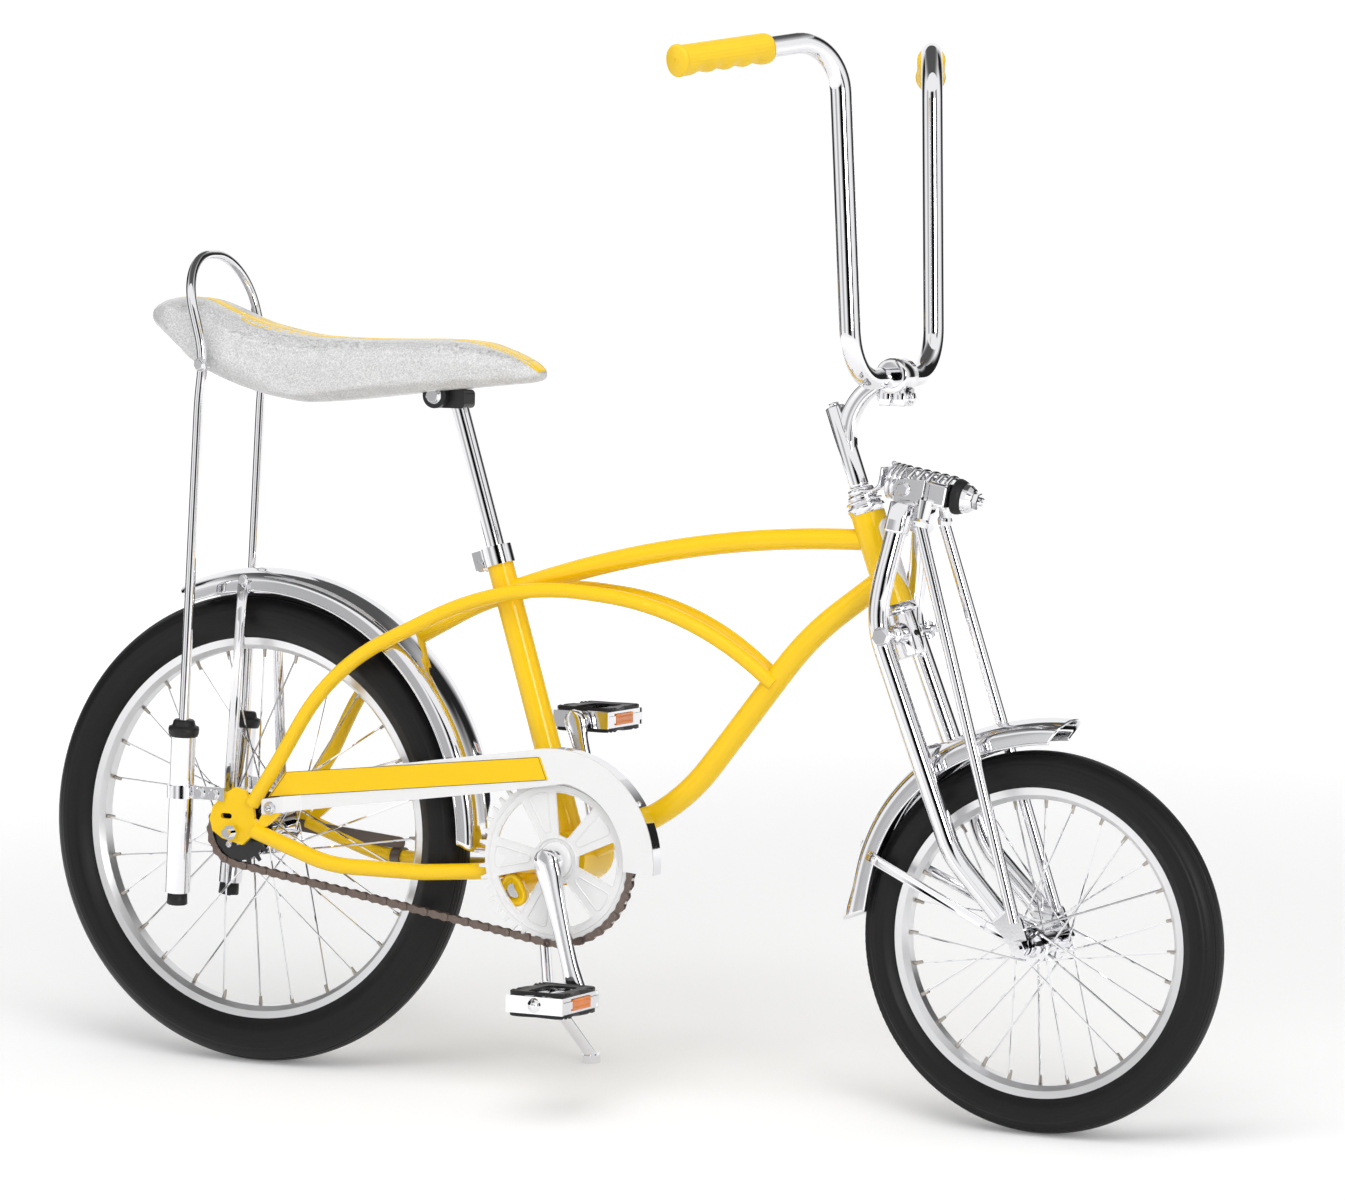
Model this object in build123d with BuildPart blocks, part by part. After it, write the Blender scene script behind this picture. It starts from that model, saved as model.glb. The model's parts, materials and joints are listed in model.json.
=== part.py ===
from build123d import *
from math import asin, atan2, cos, degrees, hypot, pi, radians, sin, tan
import os

# Chopper bicycle with a banana seat, tall handlebar and sprung front fork, all sizes in mm.
# It is drawn upright: +X forwards, +Y to the rider's left, the rear axle over X = 0 and the
# floor at Z = 0. At the end every piece is leaned onto the side stand, as the bicycle parks.

# How it parks
lean = 6.0
contact_gap = 0.3
running_gap = 0.05

# Wheels
wheelbase = 925.0
rear_tyre_radius = 256.5
rear_tyre_width = 53.0
rear_rim_radius = 208.5
rear_rim_depth = 12.7
rear_rim_width = 28.4
front_tyre_radius = 197.0
front_tyre_width = 44.0
front_rim_radius = 159.5
front_rim_depth = 12.5
front_rim_width = 27.0
rim_wall = 2.2
bead_depth = 5.5
spoke_count = 28
spoke_diameter = 2.2
hub_flange_thickness = 3.0
axle_diameter = 9.5
axle_nut_width = 15.0
axle_nut_height = 8.0

# Rear hub, dropouts and driver
rear_hub_radius = 21.0
rear_flange_radius = 31.0
rear_flange_offset = 28.0
rear_hub_width = 110.0
rear_axle_length = 156.0
dropout_thickness = 5.0
front_hub_radius = 13.0
front_flange_radius = 20.0
front_flange_offset = 29.0
front_hub_width = 92.0
front_axle_length = 142.0

# Drive
bracket_x = 387.0
bracket_z = 250.0
bracket_shell_diameter = 56.0
bracket_shell_width = 68.0
chain_pitch = 12.7
chainring_teeth = 44
sprocket_teeth = 18
roller_diameter = 7.8
chain_line = 45.0
chain_width = 7.2
chain_plate_height = 9.6
chain_waist_height = 7.0
chainring_thickness = 3.0
sprocket_thickness = 2.4
tooth_height = 3.4
crank_length = 143.0
crank_angle = -74.6
crank_arm_width = 17.0
crank_arm_thickness = 13.0
crank_arm_offset = 67.0
crank_eye_diameter = 29.0
crank_spindle_diameter = 22.0
pedal_length = 66.0
pedal_width = 84.0
pedal_gap = 6.0
pedal_spindle_diameter = 11.0

# Steering
head_angle = 69.9
head_x = 715.0
head_z = 641.6
head_tube_diameter = 36.0
head_tube_top = 15.0
head_tube_length = 99.0
head_cup_height = 9.0
head_cup_diameter = 41.0
steerer_diameter = 25.4
quill_diameter = 21.6
quill_rise = 102.0

# Frame tubes
top_tube_diameter = 22.2
down_tube_diameter = 25.4
seat_tube_diameter = 28.6
arch_tube_diameter = 15.9
chainstay_diameter = 17.5
seat_post_diameter = 20.6
seat_tube_angle = 72.6
seat_tube_length = 321.0
seat_post_exposed = 184.0
seat_post_insert = 70.0

# Handlebar and stem
bar_diameter = 22.2
bar_clamp_x = 750.0
bar_clamp_z = 771.0
bar_half_width_low = 103.0
bar_half_width_high = 116.5
bar_back_lean = 19.5
bar_rise = 343.0
bar_end_length = 212.0
bar_sweep = 24.0
bar_droop = 8.0
bar_bend_radius = 52.0
grip_diameter = 32.0
grip_length = 120.0
notch_count = 4
notch_first = 27.5
notch_spacing = 23.3
clamp_diameter = 37.0
clamp_width = 32.0

# Fork
blade_diameter = 22.0
blade_half_span = 43.5
blade_tip_half_span = 49.0
blade_tip_thickness = 5.0
strut_diameter = 12.7
strut_half_span = 31.0
strut_tip_half_span = 56.0
fork_pivot_z = 506.0
crown_bottom_z = 483.0
spring_angle = 10.3
spring_diameter = 32.0
spring_wire = 7.5

# Seat and its hoop
saddle_half_width = 58.0
hoop_diameter = 11.1
hoop_half_width = 66.0
sissy_strut_diameter = 27.0
sissy_strut_low = (-73.5, 54.5, 172.0)
sissy_strut_high = (-61.0, 65.0, 362.0)
strap_z = 297.0
strap_height = 14.0
strap_front_x = -10.0

# Mudguards and chain guard
fender_wall = 1.4
rear_fender_radius = 285.0
rear_fender_width = 66.0
front_fender_radius = 228.0
front_fender_width = 57.0
guard_thickness = 1.6
guard_outer_radius = 119.0
guard_inner_radius = 84.0
guard_lip_depth = 18.0
window_count = 5
window_inner_radius = 27.0
window_outer_radius = 72.0
window_inner_half = 6.0
window_half_angle = 19.5

# Side stand
stand_pivot_x = 322.0
stand_pivot_z = 215.0
stand_leg_diameter = 12.7
stand_housing_diameter = 22.0
stand_housing_half_width = 36.5
stand_foot_y = 113.0
stand_foot_x = 352.0

dropout_y = rear_hub_width / 2 + 0.5
guard_offset = dropout_y - contact_gap - guard_thickness
rear_axle = (0.0, 0.0, rear_tyre_radius)
front_axle = (wheelbase, 0.0, front_tyre_radius)
bracket = (bracket_x, 0.0, bracket_z)
sides = ((1, "left"), (-1, "right"))
nodes = {}


def steering_point(distance, across=0.0, lateral=0.0):
    # A point down the steering axis, and in front of it by the given distance.
    slope = radians(90 - head_angle)
    x = head_x + distance * sin(slope) + across * cos(slope)
    z = head_z - distance * cos(slope) + across * sin(slope)
    return (x, lateral, z)


def steering_plane(distance):
    slope = radians(90 - head_angle)
    return Plane(origin=steering_point(distance), x_dir=(0, 1, 0), z_dir=(sin(slope), 0, -cos(slope)))


def seat_tube_point(distance):
    slope = radians(90 - seat_tube_angle)
    return (bracket_x - distance * sin(slope), 0, bracket_z + distance * cos(slope))


def wheel_plane(axle, angle):
    # A section plane through a wheel's axis: local x is the radius, local y the width.
    tilt = radians(angle)
    return Plane(origin=axle, x_dir=(cos(tilt), 0, sin(tilt)), z_dir=(-sin(tilt), 0, cos(tilt)))


def on_circle(centre, radius, angle, lateral):
    return (centre[0] + radius * cos(radians(angle)), lateral, centre[2] + radius * sin(radians(angle)))


def across(centre, y):
    # A sketch plane square to the wheel axles, with local y upwards, facing the left side.
    return Plane(origin=(centre[0], y, centre[2]), x_dir=(-1, 0, 0), z_dir=(0, 1, 0))


def flat_plane(y):
    # A sketch plane for side outlines given as (-x, z), facing the left side.
    return Plane(origin=(0, y, 0), x_dir=(-1, 0, 0), z_dir=(0, 1, 0))


def side_outline(points):
    return [(-x, z) for x, z in points]


def bent_bar(points, bend, diameter):
    # A round bar along straight runs joined by tangent arcs.
    with BuildPart() as bar:
        with BuildLine() as path:
            if len(points) > 2:
                FilletPolyline(*points, radius=bend)
            else:
                Line(points[0], points[1])
        with BuildSketch(Plane(origin=path.line @ 0, z_dir=path.line % 0)):
            Circle(diameter / 2)
        sweep()
    return bar.part


def round_bar(start, end, diameter):
    return bent_bar([start, end], 0, diameter)


def hex_rod(start, end, diameter):
    # A thin six-sided rod, which keeps the wire spokes light.
    way = Vector(*end) - Vector(*start)
    with BuildPart() as rod:
        with BuildSketch(Plane(origin=start, z_dir=way)):
            RegularPolygon(diameter / 2, 6)
        extrude(amount=way.length)
    return rod.part


def flat_link(start, end, width, low, thickness):
    # A flat bar with round ends, square to the wheel axles, from y = low to its left.
    run = Vector(end[0] - start[0], 0, end[2] - start[2])
    with BuildPart() as link:
        with BuildSketch(Plane(origin=(start[0], low, start[2]), x_dir=run, z_dir=(0, 1, 0))):
            with Locations((run.length / 2, 0)):
                Rectangle(run.length, width)
            with Locations((0, 0), (run.length, 0)):
                Circle(width / 2)
        extrude(amount=thickness)
    return link.part


def strip(start, end, width, thickness, wide_way=(1, 0, 0)):
    # A straight flat strip whose wide side lies along the given direction.
    way = Vector(*end) - Vector(*start)
    wide = Vector(*wide_way)
    square = wide - way * (wide.dot(way) / way.dot(way))
    with BuildPart() as flat:
        with BuildSketch(Plane(origin=start, x_dir=square, z_dir=way)):
            Rectangle(width, thickness)
        extrude(amount=way.length)
    return flat.part


def strut_plane(side, distance):
    # A section plane across a strut of the seat hoop, measured up from its lower end.
    low = Vector(sissy_strut_low[0], side * sissy_strut_low[1], sissy_strut_low[2])
    high = Vector(sissy_strut_high[0], side * sissy_strut_high[1], sissy_strut_high[2])
    way = (high - low).normalized()
    return Plane(origin=low + way * distance, x_dir=(0, 1, 0), z_dir=way)


def keep(name, piece):
    piece.part.label = name
    nodes[name] = piece


# Tyres and rims, turned about their axles
wheel_table = (
    # name, axle, tyre radius, tyre width, rim radius, rim depth, rim width
    ("rear", rear_axle, rear_tyre_radius, rear_tyre_width, rear_rim_radius, rear_rim_depth, rear_rim_width),
    ("front", front_axle, front_tyre_radius, front_tyre_width, front_rim_radius, front_rim_depth,
     front_rim_width),
)
tyre_section_angles = (-108, -52, -lean, lean, 52, 108)
for name, axle, tyre_radius, tyre_width, rim_radius, rim_depth, rim_width in wheel_table:
    bulge = tyre_width / 2
    centre_line = tyre_radius - bulge
    bed_radius = rim_radius - bead_depth
    bead_half = rim_width / 2 - rim_wall - 0.1
    with BuildPart() as tyre:
        with BuildSketch(wheel_plane(axle, 0)):
            with BuildLine():
                crown = [
                    (centre_line + bulge * cos(radians(a)), bulge * sin(radians(a)))
                    for a in tyre_section_angles
                ]
                Polyline(
                    (bed_radius + 0.1, -bead_half), (rim_radius + 0.3, -bead_half), *crown,
                    (rim_radius + 0.3, bead_half), (bed_radius + 0.1, bead_half), close=True,
                )
            make_face()
        revolve(axis=Axis(axle, (0, 1, 0)))
    keep(name + "_tyre", tyre)
    with BuildPart() as rim:
        with BuildSketch(wheel_plane(axle, 0)):
            with BuildLine():
                half = rim_width / 2
                inner = rim_radius - rim_depth
                Polyline(
                    (rim_radius, -half), (rim_radius, -half + rim_wall), (bed_radius, -half + rim_wall),
                    (bed_radius, half - rim_wall), (rim_radius, half - rim_wall), (rim_radius, half),
                    (inner + 5, half - 1), (inner, half - 7), (inner, 7 - half), (inner + 5, 1 - half),
                    close=True,
                )
            make_face()
        revolve(axis=Axis(axle, (0, 1, 0)))
    keep(name + "_rim", rim)

# Hubs and spokes: name, axle, shell radius, flange radius, flange offset, left end, right end, rim inside
brake_arm_thickness = 3.0
brake_arm_y = rear_hub_width / 2 - contact_gap - brake_arm_thickness
hub_table = (
    ("rear", rear_axle, rear_hub_radius, rear_flange_radius, rear_flange_offset,
     brake_arm_y - contact_gap, rear_hub_width / 2 - contact_gap, rear_rim_radius - rear_rim_depth),
    ("front", front_axle, front_hub_radius, front_flange_radius, front_flange_offset,
     front_hub_width / 2 - contact_gap, front_hub_width / 2 - contact_gap,
     front_rim_radius - front_rim_depth),
)
spoke_cross = 72.0
spoke_seat = spoke_diameter / 2 + contact_gap
spoke_splay = 1.7
for name, axle, shell, flange, offset_y, left_end, right_end, rim_inner in hub_table:
    bore = axle_diameter / 2 + running_gap
    neck = shell * 0.7
    out = offset_y + hub_flange_thickness
    with BuildPart() as hub:
        with BuildSketch(wheel_plane(axle, 0)):
            with BuildLine():
                Polyline(
                    (bore, -right_end), (neck, -right_end), (neck, -out - 4), (shell, -out), (flange, -out),
                    (flange, -offset_y), (shell, -offset_y), (shell, offset_y), (flange, offset_y),
                    (flange, out), (shell, out), (neck, out + 4), (neck, left_end), (bore, left_end),
                    close=True,
                )
            make_face()
        revolve(axis=Axis(axle, (0, 1, 0)))
    keep(name + "_hub", hub)
    # Every other spoke of a side leads: it runs outside the flange, the trailing ones run inside it
    with BuildPart() as spokes:
        for index in range(spoke_count):
            side = 1 if index % 2 else -1
            lead = 1 if (index // 2) % 2 else -1
            rim_angle = 360 / spoke_count * index
            hub_angle = rim_angle + lead * spoke_cross
            seat_y = out + spoke_seat + spoke_splay if lead > 0 else offset_y - spoke_seat
            start = on_circle(axle, flange - 3, hub_angle, side * seat_y)
            end_point = on_circle(axle, rim_inner - contact_gap, rim_angle, side * 2.5)
            add(hex_rod(start, end_point, spoke_diameter))
    keep(name + "_spokes", spokes)

# Axles with a nut at each end
axle_table = (
    # name, axle, length, distance between the nuts' inner faces
    ("rear_axle", rear_axle, rear_axle_length, rear_hub_width + 2 * dropout_thickness + 1.0),
    ("front_axle", front_axle, front_axle_length, 2 * (strut_tip_half_span + 3.0)),
)
for name, axle, length, nut_gap in axle_table:
    with BuildPart() as spindle:
        with BuildSketch(across(axle, -length / 2)):
            Circle(axle_diameter / 2)
        extrude(amount=length)
        for side, _ in sides:
            low = nut_gap / 2 if side > 0 else -nut_gap / 2 - axle_nut_height
            with BuildSketch(across(axle, low)):
                RegularPolygon(axle_nut_width / 2, 6, major_radius=False)
            extrude(amount=axle_nut_height)
    keep(name, spindle)

# Frame
with BuildPart() as head_tube:
    with BuildSketch(steering_plane(head_tube_top)):
        Circle(head_tube_diameter / 2)
        Circle(steerer_diameter / 2 + 1.5, mode=Mode.SUBTRACT)
    extrude(amount=head_tube_length)
head_core = round_bar(
    steering_point(head_tube_top), steering_point(head_tube_top + head_tube_length), head_tube_diameter
)
keep("head_tube", head_tube)

seat_top = seat_tube_point(seat_tube_length)
shell_core = round_bar(
    (bracket_x, -bracket_shell_width / 2, bracket_z), (bracket_x, bracket_shell_width / 2, bracket_z),
    bracket_shell_diameter,
)
with BuildPart() as seat_tube:
    add(round_bar(bracket, seat_top, seat_tube_diameter))
    with BuildSketch(Plane(origin=seat_top, z_dir=Vector(*bracket) - Vector(*seat_top))):
        Circle(seat_post_diameter / 2)
    extrude(amount=seat_post_insert + 5, mode=Mode.SUBTRACT)
    add(shell_core, mode=Mode.SUBTRACT)
keep("seat_tube", seat_tube)
seat_core = round_bar(bracket, seat_top, seat_tube_diameter)

with BuildPart() as top_tube:
    with BuildLine() as path:
        ThreePointArc((head_x + 22, 0, 600), (500, 0, 581.5), (297, 0, 526))
    with BuildSketch(Plane(origin=path.line @ 0, z_dir=path.line % 0)):
        Circle(top_tube_diameter / 2)
    sweep()
    add(head_core, mode=Mode.SUBTRACT)
    add(seat_core, mode=Mode.SUBTRACT)
keep("top_tube", top_tube)
top_core = top_tube.part

down_tube_points = ((748, 0, 566), (657, 0, 498.5), (516, 0, 317.7), (bracket_x, 0, bracket_z))
with BuildPart() as down_tube:
    add(bent_bar(down_tube_points, (330, 220), down_tube_diameter))
    add(head_core, mode=Mode.SUBTRACT)
    add(shell_core, mode=Mode.SUBTRACT)
    add(seat_core, mode=Mode.SUBTRACT)
keep("down_tube", down_tube)

with BuildPart() as bottom_bracket:
    with BuildSketch(across(bracket, -bracket_shell_width / 2)):
        Circle(bracket_shell_diameter / 2)
        Circle(crank_spindle_diameter / 2 + running_gap, mode=Mode.SUBTRACT)
    extrude(amount=bracket_shell_width)
keep("bottom_bracket", bottom_bracket)

# Dropout plates, outline as (x, z) from the rear axle
dropout_outline = (
    (-10, 42), (-26, 27), (-30, 13), (-26, 0), (-14, -7.5), (11, -13.5), (23, -3), (43, 10), (57, 22),
    (57, 36), (45, 38), (38, 26), (31, 13), (26, 16), (24, 30), (14, 46), (2, 49),
)
plate_points = side_outline([(x, rear_tyre_radius + z) for x, z in dropout_outline])
with BuildPart() as dropouts:
    for side, _ in sides:
        low = dropout_y if side > 0 else -dropout_y - dropout_thickness
        with BuildSketch(flat_plane(low)):
            with BuildLine():
                Polyline(*plate_points, close=True)
            make_face()
            with Locations((0, rear_tyre_radius)):
                Circle(axle_diameter / 2, mode=Mode.SUBTRACT)
            with Locations((9, rear_tyre_radius + 17)):
                SlotOverall(14, 6, mode=Mode.SUBTRACT)
        extrude(amount=dropout_thickness)
keep("dropouts", dropouts)
dropout_core = dropouts.part

# The long arched tubes, from the down tube over the seat tube to the dropouts: x, y, z
arch_points = (
    (620, 9, 446), (523.7, 19, 521.9), (311, 25, 541.2), (112, 47, 440), (55, 58, 338), (22, 58, 288),
)
chainstay_points = (
    (26, 58, 259), (120, 58, 228), (225, 42.5, 226), (303, 27, 231), (bracket_x, 20, bracket_z),
)
with BuildPart() as stand_housing:
    with BuildSketch(across((stand_pivot_x, 0, stand_pivot_z), -stand_housing_half_width)):
        Circle(stand_housing_diameter / 2)
    extrude(amount=2 * stand_housing_half_width)
keep("stand_housing", stand_housing)
for side, word in sides:
    with BuildPart() as arch_tube:
        add(bent_bar([(x, side * y, z) for x, y, z in arch_points], (330, 330, 230, 60), arch_tube_diameter))
        for core in (seat_core, down_tube.part, top_core, dropout_core):
            add(core, mode=Mode.SUBTRACT)
    keep("arch_tube_" + word, arch_tube)
    with BuildPart() as chainstay:
        add(bent_bar([(x, side * y, z) for x, y, z in chainstay_points], (160, 160, 120), chainstay_diameter))
        for core in (shell_core, dropout_core, stand_housing.part):
            add(core, mode=Mode.SUBTRACT)
    keep("chainstay_" + word, chainstay)

# The coaster brake's arm, from the axle to a strap on the left chainstay
brake_strap = (143.0, 54.6, 227.6)
with BuildPart() as brake_arm:
    add(flat_link(rear_axle, (brake_strap[0], 0, 243.5), 13, brake_arm_y, brake_arm_thickness))
    band_start = (brake_strap[0] - 6, brake_strap[1] + 0.9, brake_strap[2])
    band_end = (brake_strap[0] + 6, brake_strap[1] - 0.9, brake_strap[2])
    add(round_bar(band_start, band_end, chainstay_diameter + 5))
    add(round_bar(band_start, band_end, chainstay_diameter + 2 * contact_gap), mode=Mode.SUBTRACT)
    with BuildSketch(across(rear_axle, 0)):
        Circle(axle_diameter / 2 + running_gap)
    extrude(amount=rear_hub_width, mode=Mode.SUBTRACT)
    add(nodes["chainstay_left"].part, mode=Mode.SUBTRACT)
keep("brake_arm", brake_arm)

with BuildPart() as headset_cups:
    for start in (head_tube_top - head_cup_height, head_tube_top + head_tube_length):
        with BuildSketch(steering_plane(start)):
            Circle(head_cup_diameter / 2)
            Circle(steerer_diameter / 2 + running_gap, mode=Mode.SUBTRACT)
        extrude(amount=head_cup_height)
keep("headset_cups", headset_cups)

# Seat post, its clamp and the banana seat
post_top = seat_tube_point(seat_tube_length + seat_post_exposed)
post_bottom = seat_tube_point(seat_tube_length - seat_post_insert)
with BuildPart() as seat_post:
    add(round_bar(post_bottom, post_top, seat_post_diameter - 2 * running_gap))
keep("seat_post", seat_post)

collar_height = 20.0
with BuildPart() as seat_collar:
    with BuildSketch(Plane(origin=seat_top, x_dir=(0, 1, 0), z_dir=Vector(*seat_top) - Vector(*bracket))):
        Circle(seat_tube_diameter / 2 + 3)
        with Locations((0, seat_tube_diameter / 2 + 5)):
            Rectangle(16, 14)
        Circle(seat_post_diameter / 2, mode=Mode.SUBTRACT)
    extrude(amount=collar_height)
keep("seat_collar", seat_collar)

# Saddle sections: x, low z, high z, half width
saddle_sections = (
    (-134, 808, 824, 18), (-120, 802, 832, 35), (-100, 790, 836, 47), (-68, 766, 828, 54),
    (-40, 753, 816, 57), (0, 740, 803, saddle_half_width), (60, 728, 792, saddle_half_width),
    (160, 737, 790, 56), (240, 746, 791, 50), (295, 752, 785, 40), (325, 755, 777, 27), (341, 758, 767, 11),
)
with BuildPart() as saddle:
    for x, low, high, half in saddle_sections:
        with BuildSketch(Plane(origin=(x, 0, (low + high) / 2), x_dir=(0, 1, 0), z_dir=(1, 0, 0))):
            RectangleRounded(2 * half, high - low, (high - low) * 0.42)
    loft()
keep("saddle", saddle)

with BuildPart() as saddle_bracket:
    with BuildSketch(across((219, 0, 735.5), -21)):
        Circle(14)
    extrude(amount=42)
    with BuildSketch(across((post_top[0], 0, post_top[2]), -12)):
        RectangleRounded(30, 20, 5)
    extrude(amount=24)
    add(round_bar(post_bottom, post_top, seat_post_diameter), mode=Mode.SUBTRACT)
    add(saddle.part, mode=Mode.SUBTRACT)
keep("saddle_bracket", saddle_bracket)

# Seat hoop: up from the struts, past the seat and over in a half circle
hoop_points = (
    (sissy_strut_high[0], sissy_strut_high[2] + contact_gap), (-45.6, 724), (-40, 772), (-70, 880),
)
hoop_bolt = (-41, 762)
with BuildPart() as sissy_bar:
    rise = [(x, hoop_half_width, z) for x, z in hoop_points]
    fall = [(x, -hoop_half_width, z) for x, z in reversed(hoop_points)]
    add(bent_bar(rise + fall, (400, 120, 61, 61, 120, 400), hoop_diameter))
    for side, _ in sides:
        add(round_bar((hoop_bolt[0], side * (saddle_half_width - 12), hoop_bolt[1]),
                      (hoop_bolt[0], side * (hoop_half_width + 9), hoop_bolt[1]), 8))
    add(saddle.part, mode=Mode.SUBTRACT)
keep("sissy_bar", sissy_bar)

sissy_strut_length = (Vector(*sissy_strut_high) - Vector(*sissy_strut_low)).length
strut_foot_height = 14.0
with BuildPart() as sissy_struts:
    for side, _ in sides:
        with BuildSketch(strut_plane(side, strut_foot_height)):
            Circle(sissy_strut_diameter / 2)
        extrude(amount=sissy_strut_length - strut_foot_height)
keep("sissy_struts", sissy_struts)

# Straps from the struts forward over the dropouts
strap_share = (strap_z - sissy_strut_low[2]) / (sissy_strut_high[2] - sissy_strut_low[2])
strap_x = sissy_strut_low[0] + (sissy_strut_high[0] - sissy_strut_low[0]) * strap_share
strap_y = sissy_strut_low[1] + (sissy_strut_high[1] - sissy_strut_low[1]) * strap_share
strap_plate_y = dropout_y + dropout_thickness + contact_gap + 1.5
with BuildPart() as sissy_straps:
    for side, _ in sides:
        with BuildSketch(Plane.XY.offset(strap_z - strap_height / 2)):
            with Locations((strap_x, side * strap_y)):
                Circle(sissy_strut_diameter / 2 + 2.5)
            with Locations(((strap_x + strap_front_x) / 2, side * strap_plate_y)):
                Rectangle(strap_front_x - strap_x, 3)
        extrude(amount=strap_height)
    add(sissy_struts.part, mode=Mode.SUBTRACT)
keep("sissy_straps", sissy_straps)

cap_diameter = sissy_strut_diameter + 6
cap_overlap = 2.0
with BuildPart() as strut_caps:
    for side, _ in sides:
        with BuildSketch(strut_plane(side, sissy_strut_length - cap_overlap)):
            Circle(cap_diameter / 2)
            Circle(sissy_strut_diameter / 2, mode=Mode.SUBTRACT)
        extrude(amount=cap_overlap)
        with BuildSketch(strut_plane(side, sissy_strut_length)):
            Circle(cap_diameter / 2)
        extrude(amount=14, taper=10)
        with BuildSketch(strut_plane(side, 0)):
            Circle(sissy_strut_diameter / 2 - 2)
        extrude(amount=strut_foot_height)
    add(sissy_bar.part, mode=Mode.SUBTRACT)
keep("strut_caps", strut_caps)

# Mudguards, turned about the wheels: name, axle, radius, width, depth, straight edge, first and last angle
fender_table = (
    ("rear_fender", rear_axle, rear_fender_radius, rear_fender_width, 24.0, 9.0, -2.0, 107.5),
    ("front_fender", front_axle, front_fender_radius, front_fender_width, 27.0, 9.0, 82.0, 176.0),
)
for name, axle, radius, width, depth, skirt, first, last in fender_table:
    half = width / 2
    edge = radius - depth
    shoulder = edge + skirt
    inside = half - fender_wall
    with BuildPart() as fender:
        with BuildSketch(wheel_plane(axle, first)):
            with BuildLine():
                Line((edge, -half), (shoulder, -half))
                ThreePointArc((shoulder, -half), (radius, 0), (shoulder, half))
                Polyline((shoulder, half), (edge, half), (edge, inside), (shoulder, inside))
                ThreePointArc((shoulder, inside), (radius - fender_wall, 0), (shoulder, -inside))
                Polyline((shoulder, -inside), (edge, -inside), (edge, -half))
            make_face()
        revolve(axis=Axis(axle, (0, -1, 0)), revolution_arc=last - first)
    keep(name, fender)

# Stays: rear from the mudguard's edges to the dropouts, front from its lower end to the axle
rear_stay_top = (-6, rear_fender_width / 2 + 1.8, 528)
rear_stay_low = (-8, dropout_y - contact_gap - 1.5, 300)
with BuildPart() as rear_fender_stays:
    for side, _ in sides:
        add(strip((rear_stay_top[0], side * rear_stay_top[1], rear_stay_top[2]),
                  (rear_stay_low[0], side * rear_stay_low[1], rear_stay_low[2]), 12, 3))
keep("rear_fender_stays", rear_fender_stays)

front_stay_top = (740, front_fender_width / 2 + 1.5, 277)
front_stay_bend = (880, blade_tip_half_span + blade_tip_thickness / 2 + contact_gap + 1.0, 214)
front_stay_thickness = 2.0
fender_bridge_angle = 122.7
with BuildPart() as front_fender_stays:
    for side, _ in sides:
        add(strip((front_stay_top[0], side * front_stay_top[1], front_stay_top[2]),
                  (front_stay_bend[0], side * front_stay_bend[1], front_stay_bend[2]), 11,
                  front_stay_thickness, (0, 0, 1)))
        low = side * front_stay_bend[1] - front_stay_thickness / 2
        add(flat_link(front_stay_bend, front_axle, 11, low, front_stay_thickness))
    bridge = on_circle(front_axle, front_fender_radius + 1.3, fender_bridge_angle, 0)
    bridge_half = blade_half_span + 1.3 - blade_diameter / 2 - contact_gap
    add(strip((bridge[0], -bridge_half, bridge[2]), (bridge[0], bridge_half, bridge[2]), 14, 2,
              (sin(radians(fender_bridge_angle)), 0, -cos(radians(fender_bridge_angle)))))
    with BuildSketch(across(front_axle, -80)):
        Circle(axle_diameter / 2)
    extrude(amount=160, mode=Mode.SUBTRACT)
keep("front_fender_stays", front_fender_stays)

# Chain guard: a hooked band round the front of the chainring with a tail back to the dropout
guard_top = on_circle(bracket, guard_outer_radius, 98, 0)
guard_low = on_circle(bracket, guard_outer_radius, -4, 0)
guard_mid = on_circle(bracket, guard_outer_radius, 47, 0)
inner_low = on_circle(bracket, guard_inner_radius, -4, 0)
inner_mid = on_circle(bracket, guard_inner_radius, 40, 0)
inner_top = on_circle(bracket, guard_inner_radius, 80, 0)
with BuildPart() as chain_guard:
    with BuildSketch(flat_plane(-guard_offset - guard_thickness)):
        with BuildLine():
            ThreePointArc((-guard_top[0], guard_top[2]), (-guard_mid[0], guard_mid[2]),
                          (-guard_low[0], guard_low[2]))
            Line((-guard_low[0], guard_low[2]), (-inner_low[0], inner_low[2]))
            ThreePointArc((-inner_low[0], inner_low[2]), (-inner_mid[0], inner_mid[2]),
                          (-inner_top[0], inner_top[2]))
            Polyline((-inner_top[0], inner_top[2]), (-300, 316), (-62, 282), (-52, 289), (-62, 321),
                     (-guard_top[0], guard_top[2]))
        make_face()
    extrude(amount=guard_thickness)
    add(strip((353, -seat_tube_diameter / 2 - contact_gap, 357), (353, -guard_offset - 0.5, 357), 10, 3))
keep("chain_guard", chain_guard)

# A bright lip turned inwards along the guard's round outer edge
lip_top = on_circle(bracket, guard_outer_radius, 96, 0)
with BuildPart() as guard_lip:
    with BuildSketch(flat_plane(-guard_offset + contact_gap)):
        with BuildLine():
            ThreePointArc((-lip_top[0], lip_top[2]), (-guard_mid[0], guard_mid[2]),
                          (-guard_low[0], guard_low[2]))
            offset(amount=guard_thickness, side=Side.LEFT)
        make_face()
    extrude(amount=guard_lip_depth)
keep("guard_lip", guard_lip)


def toothed_outline(centre, teeth, phase, radius):
    # A closed outline with one trapezoid tooth for each pitch, as (-x, z) points.
    points = []
    root = -roller_diameter / 2 - 0.4
    for index in range(teeth):
        middle = phase + 360 / teeth * index
        for part_angle, rise in ((-0.22, root), (-0.11, tooth_height), (0.11, tooth_height), (0.22, root)):
            angle = middle + part_angle * 360 / teeth
            x, _, z = on_circle(centre, radius + rise, angle, 0)
            points.append((-x, z))
    return points


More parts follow.
